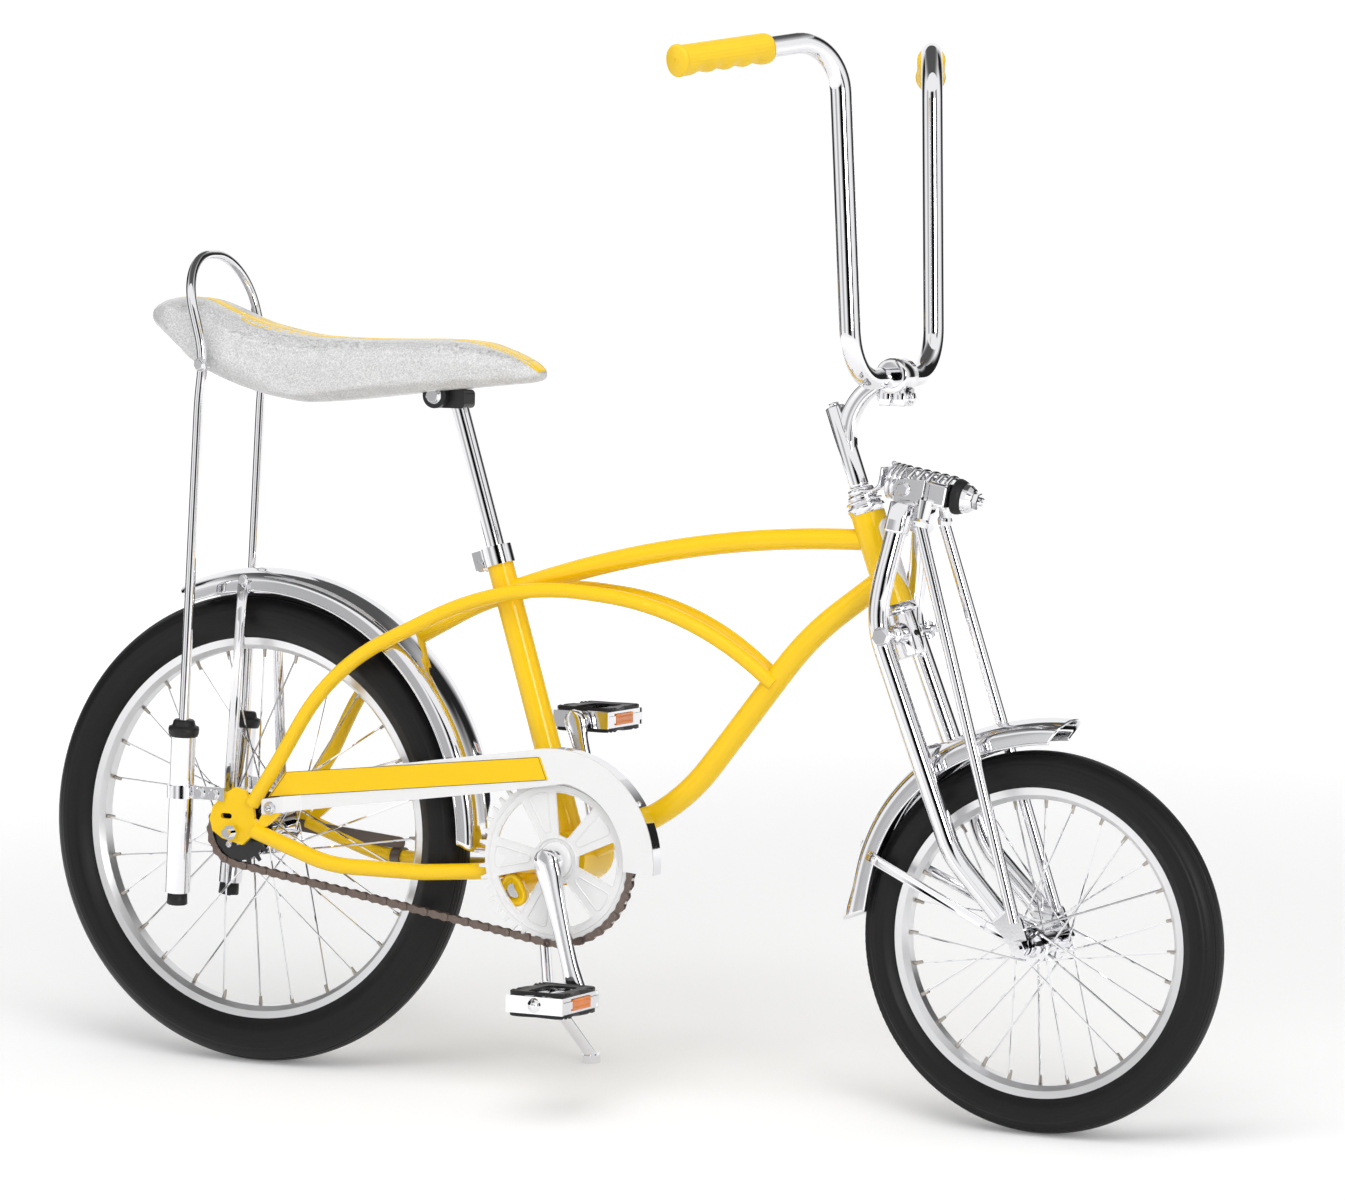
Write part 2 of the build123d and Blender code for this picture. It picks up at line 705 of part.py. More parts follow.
# The chain's pitch line: two straight runs tangent to the chainring and the sprocket
ring_radius = chain_pitch / (2 * sin(pi / chainring_teeth))
cog_radius = chain_pitch / (2 * sin(pi / sprocket_teeth))
centre_distance = hypot(bracket_x, bracket_z - rear_tyre_radius)
centre_angle = degrees(atan2(bracket_z - rear_tyre_radius, bracket_x))
wrap = degrees(asin((ring_radius - cog_radius) / centre_distance))
top_angle = centre_angle + 90 + wrap
low_angle = centre_angle - 90 - wrap
ring_links = int((180 + 2 * wrap) / (360 / chainring_teeth))
cog_links = int((180 - 2 * wrap) / (360 / sprocket_teeth))
pins = []
ring_start = centre_angle - ring_links / 2 * 360 / chainring_teeth
cog_start = centre_angle + 180 - cog_links / 2 * 360 / sprocket_teeth
for index in range(ring_links + 1):
    angle = ring_start + 360 / chainring_teeth * index
    pins.append((on_circle(bracket, ring_radius, angle, 0), angle))
cog_pins = []
for index in range(cog_links + 1):
    angle = cog_start + 360 / sprocket_teeth * index
    cog_pins.append((on_circle(rear_axle, cog_radius, angle, 0), angle))


def run_between(start, end, angle):
    count = round(hypot(end[0] - start[0], end[2] - start[2]) / chain_pitch)
    points = []
    for index in range(1, count):
        share = index / count
        points.append(((start[0] + (end[0] - start[0]) * share, 0, start[2] + (end[2] - start[2]) * share),
                       angle))
    return points


upper_run = run_between(pins[-1][0], cog_pins[0][0], top_angle)
lower_run = run_between(cog_pins[-1][0], pins[0][0], low_angle + 360)
chain_pins = pins + upper_run + cog_pins + lower_run


def chain_edge(offset_pin, offset_waist):
    points = []
    for index, (point, angle) in enumerate(chain_pins):
        after, _ = chain_pins[(index + 1) % len(chain_pins)]
        normal = (cos(radians(angle)), sin(radians(angle)))
        points.append((-(point[0] + offset_pin * normal[0]), point[2] + offset_pin * normal[1]))
        middle = ((point[0] + after[0]) / 2, (point[2] + after[2]) / 2)
        run = (after[0] - point[0], after[2] - point[2])
        size = hypot(*run)
        square = (run[1] / size, -run[0] / size)
        points.append((-(middle[0] + offset_waist * square[0]), middle[1] + offset_waist * square[1]))
    return points


ring_phase = ring_start + 180 / chainring_teeth
cog_phase = cog_start + 180 / sprocket_teeth
with BuildPart() as chainring:
    with BuildSketch(flat_plane(-chain_line - chainring_thickness / 2)):
        with BuildLine():
            Polyline(*toothed_outline(bracket, chainring_teeth, ring_phase, ring_radius), close=True)
        make_face()
        for index in range(window_count):
            middle = 360 / window_count * index
            inner_half = degrees(atan2(window_inner_half, window_inner_radius))
            corners = [on_circle(bracket, window_inner_radius, middle + turn * inner_half, 0)
                       for turn in (-1, 1)]
            corners += [on_circle(bracket, window_outer_radius, middle + turn * window_half_angle, 0)
                        for turn in (1, 0.5, 0, -0.5, -1)]
            with BuildLine():
                Polyline(*side_outline([(x, z) for x, _, z in corners]), close=True)
            make_face(mode=Mode.SUBTRACT)
        with Locations((-bracket_x, bracket_z)):
            Circle(crank_spindle_diameter / 2 + 0.1, mode=Mode.SUBTRACT)
    extrude(amount=chainring_thickness)
keep("chainring", chainring)
with BuildPart() as rear_sprocket:
    with BuildSketch(flat_plane(-chain_line - sprocket_thickness / 2)):
        with BuildLine():
            Polyline(*toothed_outline(rear_axle, sprocket_teeth, cog_phase, cog_radius), close=True)
        make_face()
        with Locations((0, rear_tyre_radius)):
            Circle(rear_hub_radius * 0.7 + running_gap, mode=Mode.SUBTRACT)
    extrude(amount=sprocket_thickness)
keep("rear_sprocket", rear_sprocket)

# The chain: a scalloped loop of links, slotted for the teeth but for a roller at each pin
tooth_slot = chainring_thickness + 1.0
half_plate = chain_plate_height / 2
half_waist = chain_waist_height / 2
with BuildPart() as chain:
    with BuildSketch(flat_plane(-chain_line - chain_width / 2)):
        with BuildLine():
            Polyline(*chain_edge(half_plate, half_waist), close=True)
        make_face()
        with BuildLine():
            Polyline(*chain_edge(-half_plate, -half_waist), close=True)
        make_face(mode=Mode.SUBTRACT)
    extrude(amount=chain_width)
    with BuildSketch(flat_plane(-chain_line - tooth_slot / 2)):
        with BuildLine():
            Polyline(*chain_edge(chain_plate_height, chain_plate_height), close=True)
        make_face()
        with BuildLine():
            Polyline(*chain_edge(-chain_plate_height, -chain_plate_height), close=True)
        make_face(mode=Mode.SUBTRACT)
        with Locations([Location((-point[0], point[2], 0), (0, 0, 1), 180 - angle)
                        for point, angle in chain_pins]):
            RegularPolygon(roller_diameter / 2, 4, mode=Mode.SUBTRACT)
    extrude(amount=tooth_slot, mode=Mode.SUBTRACT)
keep("chain", chain)

# One-piece crank: arms, eyes and the spindle through the bracket
right_eye = on_circle(bracket, crank_length, crank_angle, -crank_arm_offset)
left_eye = on_circle(bracket, crank_length, crank_angle + 180, crank_arm_offset)
with BuildPart() as crank:
    with BuildSketch(across(bracket, -crank_arm_offset - crank_arm_thickness / 2)):
        Circle(crank_spindle_diameter / 2)
    extrude(amount=2 * crank_arm_offset + crank_arm_thickness)
    for side, eye in ((-1, right_eye), (1, left_eye)):
        low = side * crank_arm_offset - crank_arm_thickness / 2
        add(flat_link(bracket, eye, crank_arm_width, low, crank_arm_thickness))
        for centre in (bracket, eye):
            with BuildSketch(across(centre, low)):
                Circle(crank_eye_diameter / 2)
            extrude(amount=crank_arm_thickness)
    for side, eye in ((-1, right_eye), (1, left_eye)):
        reach = crank_arm_thickness / 2 + pedal_gap + pedal_width + 4
        add(round_bar(eye, (eye[0], eye[1] + side * reach, eye[2]), pedal_spindle_diameter))
keep("crank", crank)

# Pedals turn on the crank's spindles
for side, word, eye in ((-1, "right", right_eye), (1, "left", left_eye)):
    inner_face = abs(eye[1]) + crank_arm_thickness / 2 + pedal_gap
    low = inner_face if side > 0 else -inner_face - pedal_width
    middle = (eye[0], low + pedal_width / 2, eye[2])
    with BuildPart() as cage:
        for z in (-1, 1):
            with BuildSketch(Plane.XY.offset(middle[2] - 4)):
                with Locations((middle[0] + z * (pedal_length / 2 - 1), middle[1])):
                    Rectangle(2, pedal_width)
            extrude(amount=8)
        for z in (-1, 1):
            with BuildSketch(Plane.XY.offset(middle[2] - 9)):
                with Locations((middle[0], middle[1] + z * (pedal_width / 2 - 1.5))):
                    Rectangle(pedal_length, 3)
            extrude(amount=18)
        with BuildSketch(across(middle, low)):
            Circle(9)
        extrude(amount=pedal_width)
        with BuildSketch(across(middle, low - 1)):
            Circle(pedal_spindle_diameter / 2 + running_gap)
        extrude(amount=pedal_width + 2, mode=Mode.SUBTRACT)
    keep("pedal_cage_" + word, cage)
    with BuildPart() as blocks:
        for rise in (-1, 1):
            with BuildSketch(Plane.XY.offset(middle[2] + (9.5 if rise > 0 else -9.5 - 4))):
                with Locations((middle[0], middle[1])):
                    RectangleRounded(pedal_length + 4, pedal_width - 2, 6)
                    Rectangle(pedal_length - 26, pedal_width - 26, mode=Mode.SUBTRACT)
            extrude(amount=4)
    keep("pedal_pads_" + word, blocks)

# Steering: fork crown and steerer, blades, struts, spring and its yoke
crown_top = head_tube_top + head_tube_length + head_cup_height + contact_gap
crown_end = (head_z - crown_bottom_z) / cos(radians(90 - head_angle))
crown_half = blade_half_span - blade_diameter / 2 - contact_gap
pivot = steering_point((head_z - fork_pivot_z) / cos(radians(90 - head_angle)))
pivot_bolt_diameter = 9.0
pivot_bolt_reach = blade_half_span + blade_diameter / 2
pivot_bolt = round_bar((pivot[0], -pivot_bolt_reach, pivot[2]), (pivot[0], pivot_bolt_reach, pivot[2]),
                       pivot_bolt_diameter)
with BuildPart() as fork_crown:
    with BuildSketch(steering_plane(-18)):
        Circle(steerer_diameter / 2)
    extrude(amount=crown_end + 18)
    with BuildSketch(steering_plane(crown_top)):
        RectangleRounded(2 * crown_half, 34, 8)
    extrude(amount=crown_end - crown_top)
    add(pivot_bolt)
    for side, _ in sides:
        low = pivot_bolt_reach if side > 0 else -pivot_bolt_reach - 4
        with BuildSketch(across(pivot, low)):
            Circle(8)
        extrude(amount=4)
keep("fork_crown", fork_crown)

# The blades: round tubes bowed back to the crown's pivots, with flat ends
yoke_pivot = (772.0, 0.0, 656.0)
blade_eye_thickness = 6.0
blade_eye_inner = spring_diameter / 2 + 1.5
blade_points = (
    (769, 28, 628), (758, blade_half_span, 560), (751, blade_half_span, 516), (843, 46, 285),
    (899, blade_tip_half_span, 227),
)
with BuildPart() as fork_blades:
    for side, _ in sides:
        points = [(x, side * y, z) for x, y, z in blade_points]
        add(bent_bar(points, (150, 100, 90), blade_diameter))
        low = side * blade_tip_half_span - blade_tip_thickness / 2
        add(flat_link((896, 0, 230), front_axle, blade_diameter, low, blade_tip_thickness))
        low = blade_eye_inner if side > 0 else -blade_eye_inner - blade_eye_thickness
        add(flat_link((767, 0, 622), yoke_pivot, blade_diameter, low, blade_eye_thickness))
    with BuildSketch(across(front_axle, -80)):
        Circle(axle_diameter / 2)
    extrude(amount=160, mode=Mode.SUBTRACT)
    with BuildSketch(across(yoke_pivot, -80)):
        Circle(pivot_bolt_diameter / 2)
    extrude(amount=160, mode=Mode.SUBTRACT)
    add(fork_crown.part, mode=Mode.SUBTRACT)
keep("fork_blades", fork_blades)

strut_tip_thickness = 4.0
with BuildPart() as fork_struts:
    for side, _ in sides:
        top = (793, side * strut_half_span, 618)
        tip = (wheelbase - 8, side * strut_tip_half_span, front_tyre_radius + 24)
        add(round_bar(top, tip, strut_diameter))
        low = side * strut_tip_half_span - strut_tip_thickness / 2
        add(flat_link(tip, front_axle, 18, low, strut_tip_thickness))
    add(fork_blades.part, mode=Mode.SUBTRACT)
    add(front_fender_stays.part, mode=Mode.SUBTRACT)
    with BuildSketch(across(front_axle, -80)):
        Circle(axle_diameter / 2)
    extrude(amount=160, mode=Mode.SUBTRACT)
keep("fork_struts", fork_struts)

# The spring lies level with the head, sloping down forwards; places along it are measured from the perch
spring_start = (742.0, 0.0, 663.5)
spring_way = (cos(radians(spring_angle)), 0, -sin(radians(spring_angle)))
spring_length = 57.0
yoke_wall = 4.0
yoke_front = 20.0
yoke_bolt_diameter = 9.0


def spring_plane(distance):
    origin = tuple(spring_start[i] + spring_way[i] * distance for i in range(3))
    return Plane(origin=origin, x_dir=(0, 1, 0), z_dir=spring_way)


with BuildPart() as fork_spring:
    with BuildSketch(spring_plane(contact_gap)):
        Circle(spring_diameter / 2)
        Circle(spring_diameter / 2 - spring_wire, mode=Mode.SUBTRACT)
    extrude(amount=spring_length)
keep("fork_spring", fork_spring)

yoke_inner = blade_eye_inner + blade_eye_thickness + contact_gap
yoke_half_height = 12.5
with BuildPart() as spring_yoke:
    start = spring_length + 2 * contact_gap
    with BuildSketch(spring_plane(start)):
        Rectangle(2 * (yoke_inner + yoke_wall), 2 * yoke_half_height)
    extrude(amount=yoke_front)
    for side, _ in sides:
        with BuildSketch(spring_plane(18)):
            with Locations((side * (yoke_inner + yoke_wall / 2), 0)):
                Rectangle(yoke_wall, 2 * yoke_half_height)
        extrude(amount=start - 18 + 1)
        top = (793, side * strut_half_span, 618 + contact_gap)
        add(round_bar(top, (798, side * 28, 644), strut_diameter + 3))
        low = yoke_inner + yoke_wall if side > 0 else -yoke_inner - yoke_wall - 4
        with BuildSketch(across(yoke_pivot, low)):
            RegularPolygon(7, 6)
        extrude(amount=4)
    for side, _ in sides:
        low = blade_eye_inner + 0.3 if side > 0 else -yoke_inner - 1
        with BuildSketch(across(yoke_pivot, low)):
            Circle(pivot_bolt_diameter / 2)
        extrude(amount=yoke_inner + 1 - blade_eye_inner - 0.3)
    with BuildSketch(spring_plane(1)):
        Circle(yoke_bolt_diameter / 2)
    extrude(amount=start)
    add(fork_struts.part, mode=Mode.SUBTRACT)
keep("spring_yoke", spring_yoke)

# In front of the yoke: a rubber buffer, then a washer and nut
nut_start = spring_length + 2 * contact_gap + yoke_front + contact_gap
with BuildPart() as spring_buffer:
    with BuildSketch(spring_plane(nut_start)):
        Circle(19)
    extrude(amount=10, taper=12)
keep("spring_buffer", spring_buffer)
with BuildPart() as spring_nuts:
    with BuildSketch(spring_plane(nut_start + 10)):
        RegularPolygon(10, 6)
    extrude(amount=14)
    with BuildSketch(spring_plane(nut_start + 24)):
        Circle(8)
    extrude(amount=8, taper=15)
keep("spring_nuts", spring_nuts)

# Locknuts over the upper cup, and the perch that backs the spring
perch_width = 30.0
perch_wall = 3.0
with BuildPart() as headset_nuts:
    with BuildSketch(steering_plane(head_tube_top - head_cup_height - contact_gap - 18)):
        Circle(19)
    extrude(amount=18)
    with BuildSketch(spring_plane(-perch_wall)):
        with Locations((0, -2)):
            Rectangle(perch_width, 26)
    extrude(amount=perch_wall)
    add(strip((722, 0, 652.5), (738.5, 0, 652.5), perch_width, perch_wall, (0, 1, 0)))
    add(fork_crown.part, mode=Mode.SUBTRACT)
keep("headset_nuts", headset_nuts)

# Stem and handlebar
arm_end = (bar_clamp_x, 0, bar_clamp_z)
bar_low = (bar_clamp_x - 4, bar_half_width_low, bar_clamp_z - 2)
bar_high = (bar_clamp_x - bar_back_lean, bar_half_width_high, bar_clamp_z + bar_rise)
sweep_x = -sin(radians(bar_sweep)) * cos(radians(bar_droop))
sweep_y = cos(radians(bar_sweep)) * cos(radians(bar_droop))
sweep_z = -sin(radians(bar_droop))
bar_end = (bar_high[0] + bar_end_length * sweep_x, bar_high[1] + bar_end_length * sweep_y,
           bar_high[2] + bar_end_length * sweep_z)
half_bar = (bar_low, bar_high, bar_end)
bar_points = [(x, -y, z) for x, y, z in reversed(half_bar)] + list(half_bar)
with BuildPart() as handlebar:
    add(bent_bar(bar_points, bar_bend_radius, bar_diameter))
keep("handlebar", handlebar)
bar_core = handlebar.part

with BuildPart() as stem:
    with BuildSketch(steering_plane(-quill_rise)):
        Circle(quill_diameter / 2)
    extrude(amount=quill_rise - 18 - contact_gap)
    add(bent_bar(((706, 0, 664), (694, 0, 706), (709, 0, 748), (744, 0, 769)), (50, 36), 18))
    with BuildSketch(across(arm_end, -clamp_width / 2)):
        Circle(clamp_diameter / 2)
        with Locations((0, -22)):
            Rectangle(30, 22)
    extrude(amount=clamp_width)
    add(bar_core, mode=Mode.SUBTRACT)
    add(fork_crown.part, mode=Mode.SUBTRACT)
    add(headset_nuts.part, mode=Mode.SUBTRACT)
keep("stem", stem)

# Grips with finger notches cut across their undersides
notch_radius = 10.0
notch_drop = grip_diameter / 2 + notch_radius - 3.0
with BuildPart() as grips:
    for side, _ in sides:
        end = (bar_end[0] + 3 * sweep_x, side * (bar_end[1] + 3 * sweep_y), bar_end[2] + 3 * sweep_z)
        start = (end[0] - grip_length * sweep_x, end[1] - side * grip_length * sweep_y,
                 end[2] - grip_length * sweep_z)
        add(round_bar(start, end, grip_diameter))
        for index in range(notch_count):
            share = (notch_first + index * notch_spacing) / grip_length
            middle = Vector(*end) + (Vector(*start) - Vector(*end)) * share - Vector(0, 0, notch_drop)
            cross = Vector(side * sweep_y, -sweep_x, 0).normalized() * grip_diameter
            add(round_bar(middle - cross, middle + cross, 2 * notch_radius), mode=Mode.SUBTRACT)
    add(bar_core, mode=Mode.SUBTRACT)
keep("grips", grips)

# Side stand: the leg drops inside the crank's sweep, then flares out to its foot
stand_leg_y = stand_housing_half_width + contact_gap + stand_leg_diameter / 2 + 1
foot_rise = stand_foot_y * tan(radians(lean))
ground_normal = (0, -sin(radians(lean)), cos(radians(lean)))
leg_points = (
    (stand_pivot_x, stand_leg_y, stand_pivot_z), (stand_pivot_x + 12, stand_leg_y, 92),
    (stand_foot_x, stand_foot_y, foot_rise + 7),
)
with BuildPart() as stand_leg:
    add(bent_bar(leg_points, 40, stand_leg_diameter))
    with BuildSketch(across((stand_pivot_x, 0, stand_pivot_z), stand_housing_half_width + contact_gap)):
        Circle(stand_housing_diameter / 2 - 1)
    extrude(amount=stand_leg_diameter + 2)
    with BuildSketch(Plane(origin=(stand_foot_x, stand_foot_y, foot_rise), z_dir=ground_normal)):
        Circle(10)
    extrude(amount=9)
keep("stand_leg", stand_leg)

# Lean everything onto the stand, with both tyres and the foot on the floor
os.makedirs("parts", exist_ok=True)
settle = (rear_tyre_width / 2) * (1 - cos(radians(lean)))
leaned = Location((0, 0, settle), (-lean, 0, 0))
boxes = [piece.part.moved(leaned).bounding_box() for piece in nodes.values()]
middle_x = (min(box.min.X for box in boxes) + max(box.max.X for box in boxes)) / 2
middle_y = (min(box.min.Y for box in boxes) + max(box.max.Y for box in boxes)) / 2
parked = Location((-middle_x, -middle_y, settle), (-lean, 0, 0))
for name, piece in nodes.items():
    piece.part = piece.part.moved(parked)
    piece.part.label = name
    export_step(piece.part, "parts/" + name + ".step")
print("pieces", len(nodes), "shift", round(middle_x, 3), round(middle_y, 3), round(settle, 3))
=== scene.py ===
import bmesh
import bpy
import json
from math import asin, atan2, ceil, cos, degrees, exp, hypot, pi, radians, sin, sqrt
from mathutils import Matrix, Vector
from mathutils.bvhtree import BVHTree


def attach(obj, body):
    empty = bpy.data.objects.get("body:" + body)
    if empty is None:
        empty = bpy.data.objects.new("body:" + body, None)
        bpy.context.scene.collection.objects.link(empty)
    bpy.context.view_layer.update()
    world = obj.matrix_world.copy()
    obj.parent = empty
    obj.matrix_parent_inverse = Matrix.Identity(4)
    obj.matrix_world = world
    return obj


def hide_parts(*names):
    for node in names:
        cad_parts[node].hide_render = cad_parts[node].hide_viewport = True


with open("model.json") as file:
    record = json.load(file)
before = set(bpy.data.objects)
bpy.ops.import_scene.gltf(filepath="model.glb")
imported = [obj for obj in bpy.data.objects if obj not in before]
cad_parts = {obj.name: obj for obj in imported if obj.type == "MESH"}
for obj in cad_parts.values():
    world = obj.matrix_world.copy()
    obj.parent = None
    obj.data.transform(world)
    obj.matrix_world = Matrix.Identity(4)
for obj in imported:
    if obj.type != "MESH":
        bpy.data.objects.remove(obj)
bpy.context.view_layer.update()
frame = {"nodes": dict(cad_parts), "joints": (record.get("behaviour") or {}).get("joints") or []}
nodes = frame["nodes"]
joints = {joint["name"]: joint for joint in frame["joints"]}
scene = bpy.context.scene
print("frame loaded:", len(nodes), "nodes")

# The bicycle is drawn upright in mm (rear axle over X 0, floor at Z 0) and leaned as the frame is
wheels = {"rear": (0.0, 256.5), "front": (925.0, 197.0)}  # axles as (x, z)
bracket = (387.0, 250.0)
axleWay = Vector(joints["rear_wheel_spin"]["axis"])
leanAngle = atan2(axleWay.z, axleWay.y)
bikeToRow = (
    Matrix.Translation(joints["rear_wheel_spin"]["pos_m"])
    @ Matrix.Rotation(leanAngle, 4, "X")
    @ Matrix.Scale(0.001, 4)
    @ Matrix.Translation((0, 0, -wheels["rear"][1]))
)
aheadWay, levelWay, riseWay = Vector((1, 0, 0)), Vector((0, 1, 0)), Vector((0, 0, 1))


def showObject(name, data):
    obj = bpy.data.objects.new(name, data)
    scene.collection.objects.link(obj)
    return obj


# Camera, as the photograph was taken
camera = {
    "azimuth": 26.312, "elevation": 3.977, "roll": 0.953, "target": (496.57, 0.0, 527.98), "distance": 6025.7,
    "lensInPixels": 5729.6, "imageWidth": 1345, "sensor": 36.0, "clip": (0.05, 200),
}


def addCamera(look):
    az, el, roll = (radians(look[key]) for key in ("azimuth", "elevation", "roll"))
    back = Vector((sin(az) * cos(el), -cos(az) * cos(el), sin(el)))
    level = Vector((cos(az), sin(az), 0))
    rise = back.cross(level)
    right = level * cos(roll) + rise * sin(roll)
    up = rise * cos(roll) - level * sin(roll)
    place = Matrix.Identity(4)
    for index, column in enumerate((right, up, back)):
        for row in range(3):
            place[row][index] = column[row]
    spot = bikeToRow @ (Vector(look["target"]) + back * look["distance"])
    data = bpy.data.cameras.new("photoCamera")
    data.sensor_width = look["sensor"]
    data.lens = look["sensor"] * look["lensInPixels"] / look["imageWidth"]
    data.clip_start, data.clip_end = look["clip"]
    scene.camera = showObject("photoCamera", data)
    scene.camera.matrix_world = Matrix.Translation(spot) @ Matrix.Rotation(leanAngle, 4, "X") @ place


addCamera(camera)


# Node trees
def emptyTree(owner):
    owner.use_nodes = True
    owner.node_tree.nodes.clear()
    return owner.node_tree


def putNode(tree, kind, values=None, **settings):
    # One node with its settings and the values of its open sockets
    node = tree.nodes.new(kind)
    for key, value in settings.items():
        setattr(node, key, value)
    for key, value in (values or {}).items():
        node.inputs[key].default_value = value
    return node


def addSockets(tree, way, kind, names):
    # names: a socket's name and, for an input, its value
    for name, value in names.items():
        socket = tree.interface.new_socket(name, in_out=way, socket_type=kind)
        if value is not None:
            socket.default_value = value


# Studio: white backdrop and floor, one big soft lamp over the bicycle and two at the sides
studio = {
    "worldStrength": 0.55,
    "floor": {
        "size": 40.0, "color": (0.93, 0.93, 0.93), "roughness": 0.9, "specular": 0.1,
        # the white that the floor adds for the camera, near the bicycle and far from it, and where that changes
        "glow": (0.12, 0.52), "reach": (0.8, 3.0),
    },
    "lamps": (
        # name, place, aim, size, watts, seen in reflections
        ("topLamp", (0.3, -1.2, 3.4), (0, 0, 0.5), 2.6, 52, False),
        ("sideLamp", (-2.8, -2.6, 1.6), (0, 0, 0.5), 1.2, 20, False),
        ("frontLamp", (3.0, -2.2, 1.5), (0, 0, 0.5), 1.1, 32, True),
    ),
    "cards": (
        # dark cards that only reflections see: name, place, width, height, tilt from upright, turn about Z,
        # and their light in the middle and at the edges
        ("cardCamera", (3.1, -6.3, 1.8), 6.4, 5.2, 0, 26, 0.0, 0.85),
        ("cardBackLeft", (-4.6, 0.36, 1.8), 5.4, 5.4, 0, 85, 0.02, 0.8),
        ("cardBackRight", (2.5, 3.9, 1.8), 5.4, 5.4, 0, -33, 0.02, 0.8),
        ("cardSideLeft", (-3.0, -5.8, 1.4), 3.0, 5.0, 0, -27, 0.50, 0.9),
        ("cardSideRight", (5.5, -1.9, 1.4), 2.0, 4.2, 0, 71, 0.03, 0.85),
        ("cardRoof", (-0.9, 1.9, 4.9), 11.0, 8.0, 90, 26, 0.10, 0.75),
    ),
    "cardFade": (0.16, 0.5),  # where a card starts and ends to brighten, in widths from its middle
}


def seenByEye(tree):
    # One for the rays by which the camera, a reflection or glass sees a surface, nothing for its light
    path = putNode(tree, "ShaderNodeLightPath")
    either, allRays = (putNode(tree, "ShaderNodeMath", operation="MAXIMUM") for _ in range(2))
    tree.links.new(path.outputs["Is Camera Ray"], either.inputs[0])
    tree.links.new(path.outputs["Is Transmission Ray"], either.inputs[1])
    tree.links.new(either.outputs[0], allRays.inputs[0])
    tree.links.new(path.outputs["Is Glossy Ray"], allRays.inputs[1])
    return allRays.outputs[0]


def addWorld(strength):
    scene.world = bpy.data.worlds.new("studioWorld")
    tree = emptyTree(scene.world)
    link = tree.links.new
    out, mix = putNode(tree, "ShaderNodeOutputWorld"), putNode(tree, "ShaderNodeMixShader")
    light = putNode(tree, "ShaderNodeBackground", {"Color": (1, 1, 1, 1), "Strength": strength})
    white = putNode(tree, "ShaderNodeBackground", {"Color": (1, 1, 1, 1)})
    link(seenByEye(tree), mix.inputs[0])
    link(light.outputs[0], mix.inputs[1])
    link(white.outputs[0], mix.inputs[2])
    link(mix.outputs[0], out.inputs[0])


def addLamps(lamps):
    for name, place, aim, size, watts, reflected in lamps:
        data = bpy.data.lights.new(name, "AREA")
        data.size, data.energy = size, watts
        lamp = showObject(name, data)
        lamp.location = place
        lamp.rotation_euler = (Vector(aim) - Vector(place)).to_track_quat("-Z", "Y").to_euler()
        lamp.visible_glossy = reflected


def addPanel(name, width, depth):
    # A flat four-cornered object with a material of its own, and that material's empty tree
    mesh = bpy.data.meshes.new(name)
    corners = [(x * width / 2, y * depth / 2, 0) for x, y in ((-1, -1), (1, -1), (1, 1), (-1, 1))]
    mesh.from_pydata(corners, [], [(0, 1, 2, 3)])
    mesh.materials.append(bpy.data.materials.new(name))
    return showObject(name, mesh), emptyTree(mesh.materials[0])


def addFloor(floor):
    panel, tree = addPanel("studioFloor", floor["size"], floor["size"])
    link = tree.links.new
    out = putNode(tree, "ShaderNodeOutputMaterial")
    shader = putNode(tree, "ShaderNodeBsdfPrincipled", {
        "Base Color": (*floor["color"], 1), "Roughness": floor["roughness"], "Emission Color": (1, 1, 1, 1),
        "Specular IOR Level": floor["specular"]})
    coords, far = putNode(tree, "ShaderNodeTexCoord"), putNode(tree, "ShaderNodeVectorMath", operation="LENGTH")
    glow = putNode(tree, "ShaderNodeMapRange", {
        "From Min": floor["reach"][0], "From Max": floor["reach"][1], "To Min": floor["glow"][0],
        "To Max": floor["glow"][1]}, interpolation_type="SMOOTHSTEP")
    seen = putNode(tree, "ShaderNodeMath", operation="MULTIPLY")
    link(coords.outputs["Object"], far.inputs[0])
    link(far.outputs["Value"], glow.inputs["Value"])
    link(glow.outputs[0], seen.inputs[0])
    link(seenByEye(tree), seen.inputs[1])
    link(seen.outputs[0], shader.inputs["Emission Strength"])
    link(shader.outputs[0], out.inputs[0])
    return panel


def addCard(name, place, width, height, tilt, turn, middle, rim, fade):
    card, tree = addPanel(name, width, height)
    link = tree.links.new
    out, shade = putNode(tree, "ShaderNodeOutputMaterial"), putNode(tree, "ShaderNodeEmission")
    coords, apart = putNode(tree, "ShaderNodeTexCoord"), putNode(tree, "ShaderNodeSeparateXYZ")
    fromMiddle = putNode(tree, "ShaderNodeMath", operation="ABSOLUTE")
    light = putNode(tree, "ShaderNodeMapRange", {
        "From Min": width * fade[0], "From Max": width * fade[1], "To Min": middle, "To Max": rim},
        interpolation_type="SMOOTHSTEP")
    link(coords.outputs["Object"], apart.inputs[0])
    link(apart.outputs["X"], fromMiddle.inputs[0])
    link(fromMiddle.outputs[0], light.inputs["Value"])
    link(light.outputs[0], shade.inputs["Strength"])
    link(shade.outputs[0], out.inputs[0])
    card.location = place
    card.rotation_euler = (radians(tilt + 90), 0, radians(turn))
    card.visible_camera = card.visible_shadow = card.visible_diffuse = False
    return card


addWorld(studio["worldStrength"])
addLamps(studio["lamps"])
addFloor(studio["floor"])
[addCard(*card, studio["cardFade"]) for card in studio["cards"]]
scene.view_settings.view_transform = "Standard"
print("studio ready")


